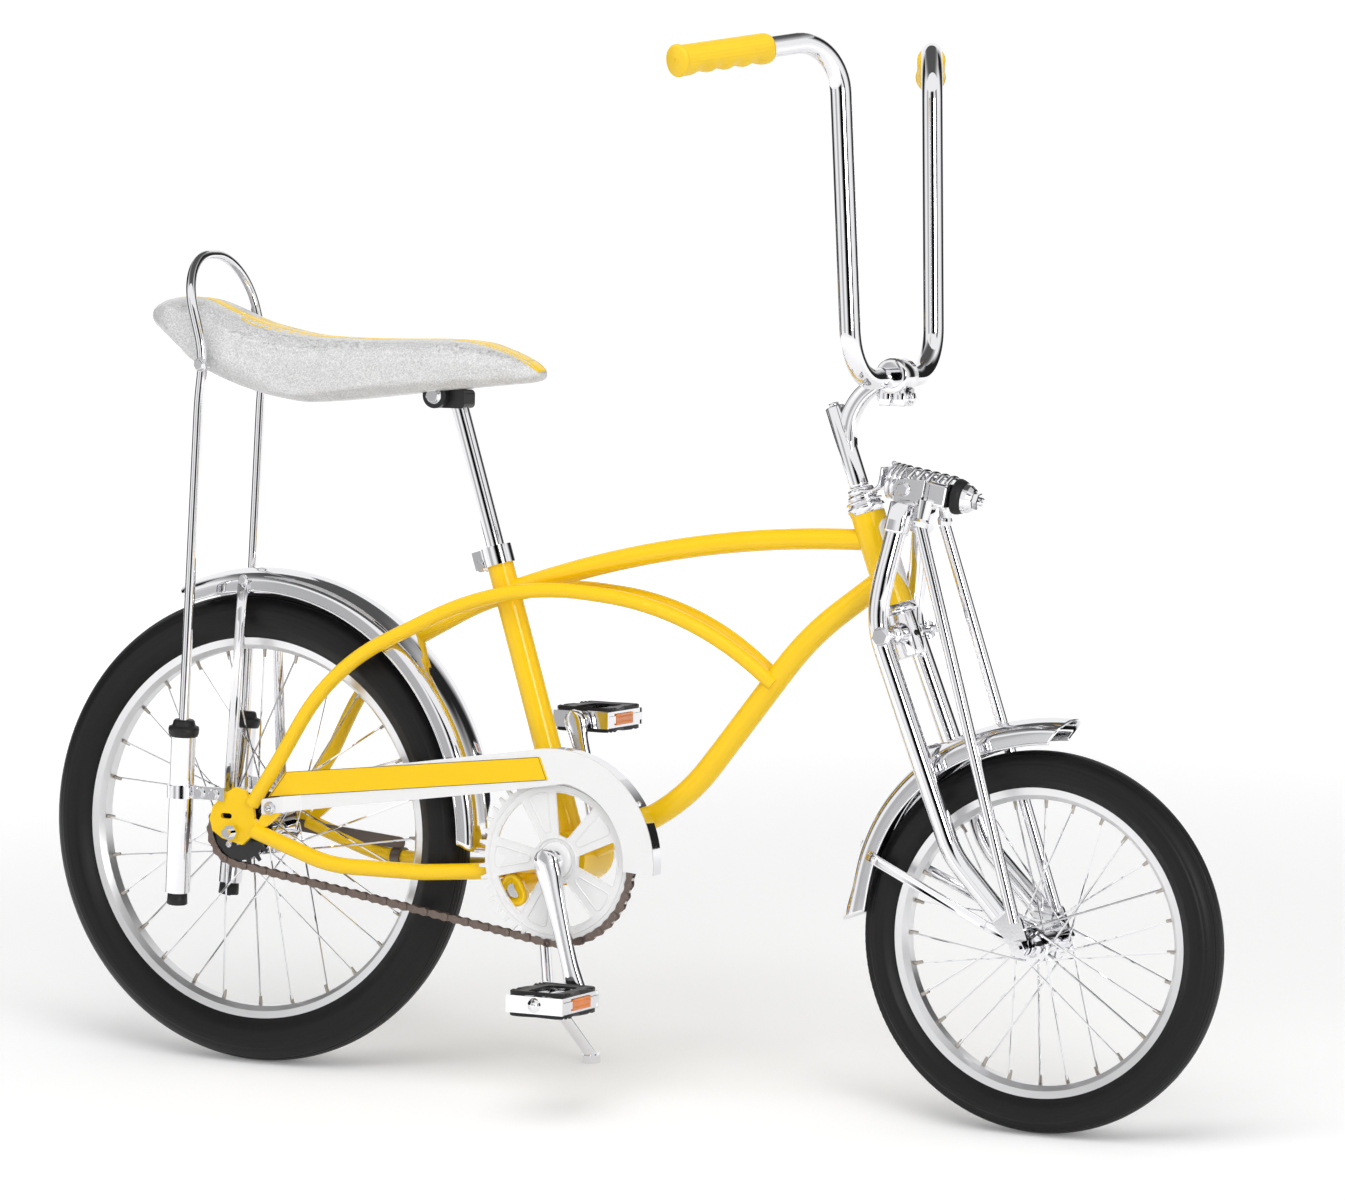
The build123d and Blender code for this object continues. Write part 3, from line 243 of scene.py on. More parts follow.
# Shader groups: fine variation of colour, gloss and relief for every finish, and the flakes of the glitter
def buildVariation():
    group = bpy.data.node_groups.new("surfaceVariation", "ShaderNodeTree")
    addSockets(group, "INPUT", "NodeSocketColor", {"Color": (1, 1, 1, 1)})
    addSockets(group, "INPUT", "NodeSocketFloat", {"Scale": 20.0, "Fine Scale": 9.0, "Color Spread": 0.1,
                                                   "Roughness": 0.4, "Roughness Spread": 0.1})
    addSockets(group, "OUTPUT", "NodeSocketColor", {"Color": None})
    addSockets(group, "OUTPUT", "NodeSocketFloat", {"Roughness": None, "Height": None})
    link = group.links.new
    source, sink = putNode(group, "NodeGroupInput"), putNode(group, "NodeGroupOutput")
    coords = putNode(group, "ShaderNodeTexCoord")
    broad = putNode(group, "ShaderNodeTexNoise", {"Detail": 4.0})
    fine = putNode(group, "ShaderNodeTexNoise", {"Detail": 6.0})
    times = putNode(group, "ShaderNodeMath", operation="MULTIPLY")
    centred = putNode(group, "ShaderNodeMath", {1: 0.5}, operation="SUBTRACT")
    tint = putNode(group, "ShaderNodeMath", {2: 1.0}, operation="MULTIPLY_ADD")
    shade = putNode(group, "ShaderNodeVectorMath", operation="SCALE")
    rough = putNode(group, "ShaderNodeMath", operation="MULTIPLY_ADD")
    link(coords.outputs["Object"], broad.inputs["Vector"])
    link(coords.outputs["Object"], fine.inputs["Vector"])
    link(source.outputs["Scale"], broad.inputs["Scale"])
    link(source.outputs["Scale"], times.inputs[0])
    link(source.outputs["Fine Scale"], times.inputs[1])
    link(times.outputs[0], fine.inputs["Scale"])
    link(broad.outputs[0], centred.inputs[0])
    link(centred.outputs[0], tint.inputs[0])
    link(source.outputs["Color Spread"], tint.inputs[1])
    link(source.outputs["Color"], shade.inputs[0])
    link(tint.outputs[0], shade.inputs["Scale"])
    link(centred.outputs[0], rough.inputs[0])
    link(source.outputs["Roughness Spread"], rough.inputs[1])
    link(source.outputs["Roughness"], rough.inputs[2])
    link(shade.outputs[0], sink.inputs["Color"])
    link(rough.outputs[0], sink.inputs["Roughness"])
    link(fine.outputs[0], sink.inputs["Height"])
    return group


def buildGlitter():
    group = bpy.data.node_groups.new("glitterFlakes", "ShaderNodeTree")
    addSockets(group, "INPUT", "NodeSocketFloat", {
        "Scale": 1100.0, "Low": 0.46, "High": 0.82, "Cloud Scale": 60.0, "Cloud Share": 0.35,
        "Sparkle From": 0.86})
    addSockets(group, "OUTPUT", "NodeSocketColor", {"Color": None})
    addSockets(group, "OUTPUT", "NodeSocketFloat", {"Sparkle": None, "Height": None})
    link = group.links.new
    source, sink = putNode(group, "NodeGroupInput"), putNode(group, "NodeGroupOutput")
    coords, cells = putNode(group, "ShaderNodeTexCoord"), putNode(group, "ShaderNodeTexVoronoi")
    split = putNode(group, "ShaderNodeSeparateColor")
    clouds = putNode(group, "ShaderNodeTexNoise", {"Detail": 5.0})
    blur = putNode(group, "ShaderNodeMath", operation="MULTIPLY_ADD")
    shade = putNode(group, "ShaderNodeMapRange", {"From Max": 1.25})
    sparkle = putNode(group, "ShaderNodeMath", operation="GREATER_THAN")
    link(coords.outputs["Object"], cells.inputs["Vector"])
    link(coords.outputs["Object"], clouds.inputs["Vector"])
    link(source.outputs["Scale"], cells.inputs["Scale"])
    link(source.outputs["Cloud Scale"], clouds.inputs["Scale"])
    link(cells.outputs["Color"], split.inputs[0])
    link(clouds.outputs[0], blur.inputs[0])
    link(source.outputs["Cloud Share"], blur.inputs[1])
    link(split.outputs[0], blur.inputs[2])
    link(blur.outputs[0], shade.inputs["Value"])
    link(source.outputs["Low"], shade.inputs["To Min"])
    link(source.outputs["High"], shade.inputs["To Max"])
    link(split.outputs[1], sparkle.inputs[0])
    link(source.outputs["Sparkle From"], sparkle.inputs[1])
    link(shade.outputs[0], sink.inputs["Color"])
    link(sparkle.outputs[0], sink.inputs["Sparkle"])
    link(split.outputs[2], sink.inputs["Height"])
    return group


variation = buildVariation()


def finishFrom(name, look, relief, values, metallic):
    # A material whose colour, gloss and relief come from one shader group
    finish = bpy.data.materials.new(name)
    tree = emptyTree(finish)
    group, link = putNode(tree, "ShaderNodeGroup", node_tree=look["group"]), tree.links.new
    for key, value in look["values"].items():
        group.inputs[key].default_value = value
    out, shader = putNode(tree, "ShaderNodeOutputMaterial"), putNode(tree, "ShaderNodeBsdfPrincipled", values)
    bump = putNode(tree, "ShaderNodeBump", relief)
    link(group.outputs["Color"], shader.inputs["Base Color"])
    link(group.outputs[metallic[0]], shader.inputs[metallic[1]])
    link(group.outputs["Height"], bump.inputs["Height"])
    link(bump.outputs[0], shader.inputs["Normal"])
    link(shader.outputs[0], out.inputs["Surface"])
    return finish


def makeFinish(name, color, rough, scale, spread, bump=0.02, roughSpread=0.1, metal=0.0, coat=0.0, sheen=0.0,
               specular=0.5):
    look = {"group": variation, "values": {"Color": (*color, 1), "Scale": scale, "Color Spread": spread,
                                           "Roughness": rough, "Roughness Spread": roughSpread}}
    values = {"Metallic": metal, "Coat Weight": coat, "Coat Roughness": 0.06, "Sheen Weight": sheen,
              "Specular IOR Level": specular}
    return finishFrom(name, look, {"Strength": bump, "Distance": 0.001}, values, ("Roughness", "Roughness"))


finishTable = {
    "yellowPaint": {"color": (0.94, 0.59, 0.002), "rough": 0.26, "scale": 14, "spread": 0.04, "coat": 0.25,
                    "bump": 0.015, "specular": 0.35},
    "whitePaint": {"color": (0.84, 0.84, 0.84), "rough": 0.26, "scale": 14, "spread": 0.03, "coat": 0.4,
                   "bump": 0.015},
    "chrome": {"color": (0.84, 0.84, 0.86), "rough": 0.06, "metal": 1.0, "scale": 30, "spread": 0.04,
               "roughSpread": 0.05, "bump": 0.006},
    "satinAlloy": {"color": (0.78, 0.78, 0.79), "rough": 0.3, "metal": 1.0, "scale": 40, "spread": 0.06},
    "darkSteel": {"color": (0.16, 0.135, 0.12), "rough": 0.38, "metal": 0.9, "scale": 60, "spread": 0.25,
                  "bump": 0.04},
    "chainSteel": {"color": (0.20, 0.155, 0.135), "rough": 0.34, "metal": 0.9, "scale": 90, "spread": 0.4,
                   "roughSpread": 0.2, "bump": 0.05},
    "blackSteel": {"color": (0.014, 0.014, 0.015), "rough": 0.3, "scale": 60, "spread": 0.3, "bump": 0.04},
    "blackPlastic": {"color": (0.012, 0.012, 0.013), "rough": 0.4, "scale": 60, "spread": 0.2, "bump": 0.06,
                     "specular": 0.35},
    "blackRubber": {"color": (0.012, 0.012, 0.013), "rough": 0.5, "scale": 60, "spread": 0.2, "bump": 0.08,
                    "specular": 0.3},
    "tyreRubber": {"color": (0.008, 0.0077, 0.008), "rough": 0.44, "scale": 30, "spread": 0.3, "bump": 0.08,
                   "specular": 0.24},
    "yellowGrip": {"color": (0.90, 0.58, 0.01), "rough": 0.42, "scale": 50, "spread": 0.08, "bump": 0.06,
                   "sheen": 0.05},
    "yellowVinyl": {"color": (0.93, 0.62, 0.004), "rough": 0.34, "scale": 60, "spread": 0.05, "coat": 0.2,
                    "bump": 0.03},
    "amber": {"color": (0.75, 0.19, 0.0), "rough": 0.16, "scale": 60, "spread": 0.3, "bump": 0.05, "coat": 0.6},
    "nickel": {"color": (0.46, 0.42, 0.37), "rough": 0.3, "metal": 1.0, "scale": 80, "spread": 0.2},
}
finishes = {name: makeFinish(name, **look) for name, look in finishTable.items()}
finishes["glitterVinyl"] = finishFrom(
    "glitterVinyl", {"group": buildGlitter(), "values": {}}, {"Strength": 0.25, "Distance": 0.0006},
    {"Roughness": 0.36, "Coat Weight": 0.25, "Coat Roughness": 0.25}, ("Sparkle", "Metallic"))
print("finishes ready")

# Which finish each node that stays shown gets
nodeFinishes = {
    "yellowPaint": ("head_tube", "seat_tube", "top_tube", "down_tube", "bottom_bracket", "dropouts",
                    "stand_housing", "arch_tube_left", "arch_tube_right", "chainstay_left", "chainstay_right"),
    "whitePaint": ("chain_guard", "chainring"),
    "satinAlloy": ("rear_rim", "front_rim"),
    "chrome": ("rear_hub", "front_hub", "rear_axle", "front_axle", "headset_cups", "headset_nuts",
               "seat_collar", "sissy_bar", "sissy_struts", "sissy_straps", "rear_fender", "rear_fender_stays",
               "front_fender", "front_fender_stays", "fork_crown", "fork_blades", "fork_struts", "fork_spring",
               "spring_yoke", "spring_nuts", "handlebar", "stem", "crank", "stand_leg", "seat_post",
               "pedal_cage_right", "pedal_cage_left", "guard_lip", "rear_spokes", "front_spokes"),
    "darkSteel": ("chain", "brake_arm"),
    "blackSteel": ("saddle_bracket", "rear_sprocket"),
    "blackPlastic": ("strut_caps", "pedal_pads_right", "pedal_pads_left"),
    "blackRubber": ("spring_buffer",),
    "tyreRubber": ("rear_tyre", "front_tyre"),
    "yellowGrip": ("grips",),
}
for finish, names in nodeFinishes.items():
    for name in names:
        nodes[name].data.materials.clear()
        nodes[name].data.materials.append(finishes[finish])
print("nodes dressed:", sum(len(names) for names in nodeFinishes.values()))


# Mesh helpers
def closedMesh(name, verts, faces, weld=0.0):
    # A mesh whose faces all look outward; points nearer to each other than weld become one
    mesh = bpy.data.meshes.new(name)
    mesh.from_pydata([tuple(v) for v in verts], [], faces)
    work = bmesh.new()
    work.from_mesh(mesh)
    if weld:
        bmesh.ops.remove_doubles(work, verts=work.verts[:], dist=weld)
    bmesh.ops.recalc_face_normals(work, faces=work.faces[:])
    work.to_mesh(mesh)
    work.free()
    return mesh


def evaluatedMesh(obj):
    return bpy.data.meshes.new_from_object(obj.evaluated_get(bpy.context.evaluated_depsgraph_get()))


def addPiece(name, verts, faces, body, slot, finish, stands=(), smooth=True):
    mesh = closedMesh(name, verts, faces)
    mesh.transform(bikeToRow)
    return finishPiece(name, mesh, body, finish, stands, smooth)


def finishPiece(name, mesh, body, finish, stands=(), smooth=True):
    mesh.name = name
    mesh.materials.clear()
    mesh.materials.append(finishes[finish])
    for polygon in mesh.polygons:
        polygon.use_smooth = smooth
        polygon.material_index = 0
    obj = showObject(name, mesh)
    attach(obj, body)
    if stands:
        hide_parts(*stands)
    return obj


def loft(rings, closed=False, capped=True):
    count = len(rings[0])
    verts = [v for ring in rings for v in ring]
    faces = []
    spans = len(rings) if closed else len(rings) - 1
    for i in range(spans):
        low, high = i * count, (i + 1) % len(rings) * count
        for j in range(count):
            k = (j + 1) % count
            faces.append((low + j, low + k, high + k, high + j))
    if capped and not closed:
        faces.append(tuple(range(count)))
        faces.append(tuple(range(len(verts) - count, len(verts))))
    return verts, faces


def pathWay(path, index, closed=False):
    # The way that a path runs at one of its points
    before = path[index - 1] if closed else path[max(index - 1, 0)]
    after = path[(index + 1) % len(path)] if closed else path[min(index + 1, len(path) - 1)]
    return (after - before).normalized()


def tube(points, radius, sides=16, closed=False):
    # Rings square to a path; radius is one number or one for each point
    points = [Vector(p) for p in points]
    radii = [radius] * len(points) if isinstance(radius, (int, float)) else radius
    side = (points[1] - points[0]).normalized().orthogonal().normalized()
    rings = []
    for index, point in enumerate(points):
        way = pathWay(points, index, closed)
        side = (side - way * side.dot(way)).normalized()
        other = way.cross(side)
        rings.append([point + (side * cos(2 * pi * j / sides) + other * sin(2 * pi * j / sides)) * radii[index]
                      for j in range(sides)])
    return loft(rings, closed)


def joinParts(parts):
    verts, faces = [], []
    for partVerts, partFaces in parts:
        start = len(verts)
        verts += partVerts
        faces += [tuple(start + i for i in face) for face in partFaces]
    return verts, faces


def aboutAxle(axle, radius, turn, across=0.0):
    # The point at a radius and a turn about an axle at (x, z)
    return Vector((axle[0] + radius * cos(turn), across, axle[1] + radius * sin(turn)))


# Geometry nodes: one copy of a small part on every point of a pattern, turned as the point's attribute says
def buildRepeat():
    tree = bpy.data.node_groups.new("repeatPart", "GeometryNodeTree")
    addSockets(tree, "INPUT", "NodeSocketGeometry", {"Geometry": None})
    addSockets(tree, "INPUT", "NodeSocketObject", {"Part": None})
    addSockets(tree, "INPUT", "NodeSocketFloat", {"Size": 1.0})
    addSockets(tree, "INPUT", "NodeSocketMaterial", {"Finish": None})
    addSockets(tree, "OUTPUT", "NodeSocketGeometry", {"Geometry": None})
    link = tree.links.new
    turn = putNode(tree, "GeometryNodeInputNamedAttribute", {"Name": "turn"}, data_type="FLOAT_VECTOR")
    source, sink, info, toRotation, put, real, paint = (putNode(tree, kind) for kind in (
        "NodeGroupInput", "NodeGroupOutput", "GeometryNodeObjectInfo", "FunctionNodeEulerToRotation",
        "GeometryNodeInstanceOnPoints", "GeometryNodeRealizeInstances", "GeometryNodeSetMaterial"))
    link(source.outputs["Geometry"], put.inputs["Points"])
    link(source.outputs["Part"], info.inputs["Object"])
    link(info.outputs["Geometry"], put.inputs["Instance"])
    link(turn.outputs["Attribute"], toRotation.inputs[0])
    link(toRotation.outputs[0], put.inputs["Rotation"])
    link(source.outputs["Size"], put.inputs["Scale"])
    link(put.outputs[0], real.inputs[0])
    link(real.outputs[0], paint.inputs["Geometry"])
    link(source.outputs["Finish"], paint.inputs["Material"])
    link(paint.outputs[0], sink.inputs[0])
    return tree


repeatTree = buildRepeat()


def repeatPart(name, part, spots, body, finish, stands=(), smooth=True, size=1.0):
    # spots: (point in bicycle mm, Euler turn)
    partObj = showObject(name + "Part", closedMesh(name + "Part", *part))
    mesh = bpy.data.meshes.new(name + "Spots")
    mesh.from_pydata([tuple(point) for point, _ in spots], [], [])
    turns = mesh.attributes.new("turn", "FLOAT_VECTOR", "POINT")
    turns.data.foreach_set("vector", [angle for _, turn in spots for angle in turn])
    host = showObject(name + "Host", mesh)
    modifier = host.modifiers.new("repeat", "NODES")
    modifier.node_group = repeatTree
    wanted = {"Part": partObj, "Size": size, "Finish": finishes[finish]}
    for item in repeatTree.interface.items_tree:
        if item.in_out == "INPUT" and item.name in wanted:
            modifier[item.identifier] = wanted[item.name]
    bpy.context.view_layer.update()
    made = evaluatedMesh(host)
    bpy.data.objects.remove(host)
    bpy.data.objects.remove(partObj)
    made.transform(bikeToRow)
    return finishPiece(name, made, body, finish, stands, smooth)


def rod(length, radius, sides=8, top=None):
    # A short closed bar along Z from the origin
    turns = [2 * pi * j / sides for j in range(sides)]
    ends = ((0, radius), (length, radius if top is None else top))
    return loft([[Vector((r * cos(turn), r * sin(turn), z)) for turn in turns] for z, r in ends])


print("helpers ready")

# Tyres: slick rear with shallow grooves, front with ribs and a knurled band on each shoulder
tyres = {
    "rear": {"width": 53.0, "rimRadius": 208.5, "rimHalf": 11.9, "grooves": (10, 19, 30), "knurl": None,
             "segments": 160},
    "front": {"width": 44.0, "rimRadius": 159.5, "rimHalf": 11.2, "grooves": (7, 20, 32), "knurl": (36, 60),
              "segments": 300},
}
# Shared by both, with angles round the section in degrees from the tread's middle
tyreForm = {
    "inset": 0.2, "bead": 3.0, "end": 118, "step": 4.0, "grooveEdges": (-1.6, -0.8, 0.8, 1.6),
    "grooveHalf": 1.0, "grooveDeep": 1.1, "panel": (67, 85), "panelMarks": (66, 67.5, 84, 85.5),
    "panelRise": 0.35,
    "narrowFrom": 104, "narrowing": 0.12, "knurlRise": 0.8,
}


def tyreProfile(spec, core, form):
    # (radius, across, whether it is knurled) round a tyre's section, from bead to bead
    steps = [form["step"] * i - form["end"] for i in range(int(2 * form["end"] / form["step"]) + 1)]
    steps += [side * (groove + edge) for groove in spec["grooves"] for edge in form["grooveEdges"]
              for side in (-1, 1)]
    steps += [side * mark for side in (-1, 1) for mark in form["panelMarks"]]
    beadRadius = spec["rimRadius"] - form["bead"]
    points = [(beadRadius, -spec["rimHalf"], False)]
    for angle in sorted(set(steps)):
        size = abs(angle)
        radius = spec["width"] / 2 - form["inset"]
        if any(abs(size - groove) < form["grooveHalf"] for groove in spec["grooves"]):
            radius -= form["grooveDeep"]
        if form["panel"][0] < size < form["panel"][1]:
            radius += form["panelRise"]
        if size > form["narrowFrom"]:
            radius -= (size - form["narrowFrom"]) * form["narrowing"]
        knurled = bool(spec["knurl"]) and spec["knurl"][0] <= size <= spec["knurl"][1]
        points.append((core + radius * cos(radians(angle)), radius * sin(radians(angle)), knurled))
    points.append((beadRadius, spec["rimHalf"], False))
    return points


def addTyre(word, spec):
    core = wheels[word][1] - spec["width"] / 2
    profile = tyreProfile(spec, core, tyreForm)
    rings = []
    for j in range(spec["segments"]):
        angle = 2 * pi * j / spec["segments"]
        ring = []
        for row, (radius, across, knurled) in enumerate(profile):
            if knurled and (row + j) % 2:
                scaleUp = 1 + tyreForm["knurlRise"] / hypot(radius - core, across)
                radius, across = core + (radius - core) * scaleUp, across * scaleUp
            ring.append(aboutAxle(wheels[word], radius, angle, across))
        rings.append(ring)
    addPiece(word + "Tyre", *loft(rings, closed=True), word + "_wheel", "tyre_rubber", "tyreRubber",
             (word + "_tyre",))


for word, spec in tyres.items():
    addTyre(word, spec)
print("tyres done")

# Spoke nipples, by turns on the one and the other side of the rim's middle
nipples = {
    "count": 28, "length": 9.0, "radius": 2.3, "tip": 1.7, "aside": 2.6,
    "inner": {"rear": 195.4, "front": 146.6},
}
for word, innerRadius in nipples["inner"].items():
    spots = []
    for index in range(nipples["count"]):
        angle = 2 * pi * index / nipples["count"]
        aside = nipples["aside"] if index % 2 else -nipples["aside"]
        spots.append((aboutAxle(wheels[word], innerRadius, angle, aside), (0, -pi / 2 - angle, 0)))
    repeatPart(word + "Nipples", rod(nipples["length"], nipples["radius"], 8, nipples["tip"]), spots,
               word + "_wheel", "nickel", smooth=False)
print("nipples done")

# Banana seat, in mm along the bicycle: x, low z, height of the side crease, high z, half width
seat = {
    "stations": (
        (-134, 808, 815, 824, 19), (-127, 805, 816, 829, 30), (-114, 799, 817, 834, 40),
        (-100, 790, 816, 836, 47), (-68, 766, 811, 828, 54),
        (-40, 753, 803, 816, 57), (0, 740, 785, 803, 58), (60, 728, 776, 792, 58),
        (110, 731, 774, 790, 57), (160, 737, 775, 790, 56), (240, 746, 777, 791, 50), (295, 752, 774, 785, 40),
        (325, 755, 769, 777, 27), (336, 757, 766, 771.5, 18), (342, 759, 764, 767, 9),
    ),
    "rings": 72, "creaseDepth": 1.5, "creaseWidth": 3.2,
    # the cloth: voxel and largest move in m, pressure, steps per frame, frames
    "voxel": 0.0048, "limit": 0.004, "pressure": 4.0, "quality": 6, "frames": 20,
}


def smoothTable(table, x):
    # Catmull-Rom between the rows of a table whose first column is the place
    last = len(table) - 1
    i = next((i for i in range(last) if x <= table[i + 1][0]), last - 1)
    a, b = table[i], table[i + 1]
    before, after = table[max(i - 1, 0)], table[min(i + 2, last)]
    span = b[0] - a[0]
    t = min(max((x - a[0]) / span, 0), 1)
    h1, h2 = 2 * t**3 - 3 * t**2 + 1, t**3 - 2 * t**2 + t
    h3, h4 = -2 * t**3 + 3 * t**2, t**3 - t**2
    out = []
    for column in range(1, len(a)):
        startSlope = (b[column] - before[column]) / max(b[0] - before[0], 1) * span
        endSlope = (after[column] - a[column]) / max(after[0] - a[0], 1) * span
        out.append(h1 * a[column] + h2 * startSlope + h3 * b[column] + h4 * endSlope)
    return out


def seatRing(x):
    low, crease, high, half = smoothTable(seat["stations"], x)
    points = [(0, low), (half * 0.4, low), (half * 0.75, low + 0.4), (half * 0.93, low + 1.6),
              (half * 0.985, low + (crease - low) * 0.14)]
    for share in (0.3, 0.5, 0.7, 0.87):
        points.append((half * (1.0 + 0.012 * sin(pi * share)), low + (crease - low) * share))
    for step in range(1, 14):
        turn = pi / 2 * min((step - 0.7) / 12.3, 1.0)
        points.append((half * 0.99 * max(cos(turn), 0.0) ** 0.62, crease + (high - crease) * sin(turn) ** 0.85))
    left = [Vector((x, y, z)) for y, z in points]
    right = [Vector((x, -y, z)) for y, z in reversed(points[1:-1])]
    return left + right


def seatMesh():
    first, last = seat["stations"][0][0], seat["stations"][-1][0]
    rings = []
    for i in range(seat["rings"]):
        share = i / (seat["rings"] - 1)
        eased = share - 0.11 * sin(2 * pi * share) / pi
        rings.append(seatRing(first + (last - first) * eased))
    mesh = closedMesh("seatCover", *loft(rings), weld=0.01)
    mesh.transform(bikeToRow)
    return mesh


def puff(mesh, setup):
    # A copy of the cover is blown up as cloth, and each point moves by no more than the limit
    soft = showObject("seatCloth", mesh.copy())
    bpy.context.view_layer.objects.active = soft
    soft.select_set(True)
    remesh = soft.modifiers.new("remesh", "REMESH")
    remesh.mode = "VOXEL"
    remesh.voxel_size = setup["voxel"]
    plain = evaluatedMesh(soft)
    soft.modifiers.clear()
    soft.data = plain
    still = [v.co.copy() for v in plain.vertices]
    cloth = soft.modifiers.new("cloth", "CLOTH")
    cloth.settings.use_pressure = True
    cloth.settings.uniform_pressure_force = setup["pressure"]
    cloth.settings.effector_weights.gravity = 0
    cloth.settings.quality = setup["quality"]
    for frameNumber in range(1, setup["frames"] + 1):
        scene.frame_set(frameNumber)
    blown = evaluatedMesh(soft)
    soft.modifiers.clear()
    scene.frame_set(1)
    for vertex, rest in zip(blown.vertices, still):
        move = vertex.co - rest
        if move.length > setup["limit"]:
            move *= setup["limit"] / move.length
        vertex.co = rest + move
    soft.data = blown
    finer = soft.modifiers.new("finer", "SUBSURF")
    finer.levels = finer.render_levels = 1
    made = evaluatedMesh(soft)
    bpy.data.objects.remove(soft)
    return made


def pressCrease(mesh, setup):
    # The welt between the side and the top is drawn in along the crease line
    back = bikeToRow.inverted()
    turn = bikeToRow.to_3x3().normalized()
    for vertex in mesh.vertices:
        place = back @ vertex.co
        low, crease, high, half = smoothTable(seat["stations"], place.x)
        if abs(place.y) < half * 0.7:
            continue
        fade = min(1.0, max(0.0, (place.x + 126) / 18)) * min(1.0, max(0.0, (338 - place.x) / 20))
        depth = setup["creaseDepth"] * exp(-((place.z - crease) / setup["creaseWidth"]) ** 2) * fade
        side = 1 if place.y > 0 else -1
        vertex.co += turn @ Vector((0, -side * depth * 0.001, 0))


seatCover = seatMesh()
seatCover = puff(seatCover, seat)
pressCrease(seatCover, seat)
seatPiece = finishPiece("bananaSeat", seatCover, "frame", "glitterVinyl", ("saddle",))
print("seat done")

# Yellow stripes laid on the seat: a wide band along the middle and a thin line at each side of it
stripes = {
    "band": {"half": 9.0, "rise": 0.35},
    "line": {"half": 1.7, "rise": 0.35, "path": (
        # place along the seat, distance from its middle
        (341, 6.0), (338, 10.5), (333, 13.5), (320, 14.5), (290, 14.5), (200, 15.0), (110, 16.0), (60, 19.0),
        (35, 24.0), (15, 27.5), (-3, 27.5), (-16, 24.0), (-21, 19.0), (-17, 15.0), (-6, 14.0), (10, 16.5),
        (24, 19.5),
    )},
}
seatTree = BVHTree.FromPolygons([bikeToRow.inverted() @ v.co for v in seatCover.vertices],
                                [tuple(p.vertices) for p in seatCover.polygons])


def seatTopPath(place):
    # A point over the seat's middle and the way out of it, for a place from the rear to the nose and down it
    if place <= 325:
        ahead = smoothTable(seat["stations"], place + 2)[2]
        behind = smoothTable(seat["stations"], place - 2)[2]
        slope = (ahead - behind) / 4
        way = Vector((-slope, 0, 1)).normalized()
        return Vector((place, 0, smoothTable(seat["stations"], place)[2])), way
    turn = radians(14 + (place - 325) / 17 * 76)
    return Vector((318, 0, 762)), Vector((sin(turn), 0, cos(turn)))


def onSeat(place, lateral, rise):
    base, way = seatTopPath(place)
    start = base + Vector((0, lateral, 0)) + way * 60
    hit, normal, _, _ = seatTree.ray_cast(start, -way, 120)
    if hit is None:
        hit, normal, _, _ = seatTree.find_nearest(base + Vector((0, lateral, 0)))
    return hit + normal * rise, hit - normal * 0.6


def stripeStrip(middle, half, rise):
    # middle: (place, lateral) points; the strip is a thin closed band across the way it runs
    path, rings = [Vector(spot) for spot in middle], []
    for index, (place, lateral) in enumerate(middle):
        way = pathWay(path, index)
        cross = Vector((-way.y, way.x))
        outer, inner = [], []
        steps = 6 if half > 4 else 2
        for step in range(steps + 1):
            offset = half * (2 * step / steps - 1)
            edge = 0.15 if step in (0, steps) else rise
            high, low = onSeat(place + cross.x * offset, lateral + cross.y * offset, edge)
            outer.append(high)
            inner.append(low)
        rings.append(outer + inner[::-1])
    return loft(rings)


def alongTable(points, gap):
    # Points of a polyline, evenly spaced, rounded by Catmull-Rom
    out = []
    for i in range(len(points) - 1):
        a, b = Vector(points[i]), Vector(points[i + 1])
        before = Vector(points[i - 1]) if i else a * 2 - b
        after = Vector(points[i + 2]) if i + 2 < len(points) else b * 2 - a
        count = max(1, int(ceil((b - a).length / gap)))
        for step in range(count):
            t = step / count
            out.append(0.5 * ((2 * a) + (b - before) * t + (2 * before - 5 * a + 4 * b - after) * t**2
                              + (3 * a - before - 3 * b + after) * t**3))
    out.append(Vector(points[-1]))
    return out


bandPlaces = sorted({-128 + 3.0 * i for i in range(151)} | {325 + 1.0 * i for i in range(17)})
stripeParts = [stripeStrip([(place, 0.0) for place in bandPlaces], **stripes["band"])]
for side in (-1, 1):
    path = [(p.x, side * p.y) for p in alongTable(stripes["line"]["path"], 3.0)]
    stripeParts.append(stripeStrip(path, stripes["line"]["half"], stripes["line"]["rise"]))
addPiece("seatStripes", *joinParts(stripeParts), "frame", "yellow_vinyl", "yellowVinyl")
print("seat stripes done")

# Grips: soft yellow plastic with fine ribs, finger notches below and a flared end
grips = {
    "length": 119.5, "radius": 15.2, "largest": 16.4, "flare": 1.3, "flareStart": 1.5, "flareEnd": 6.0,
    "ribs": 26, "ribDepth": 0.35, "ribbed": (9, 114), "taperFrom": 116, "taper": 0.35,
    "notches": (27.5, 50.8, 74.1, 97.4), "notchDepth": 2.9, "notchWidth": 7.6,
    "eye": 3.0, "eyeWire": 0.45, "past": 3.0,
}
bar = {
    "clampX": 750.0, "clampZ": 771.0, "halfHigh": 116.5, "backLean": 19.5, "rise": 343.0, "endLength": 212.0,
    "sweep": 24.0, "droop": 8.0,
}
sweep, droop = radians(bar["sweep"]), radians(bar["droop"])
barWay = Vector((-sin(sweep) * cos(droop), cos(sweep) * cos(droop), -sin(droop)))
barHigh = Vector((bar["clampX"] - bar["backLean"], bar["halfHigh"], bar["clampZ"] + bar["rise"]))
barEnd = barHigh + barWay * bar["endLength"]


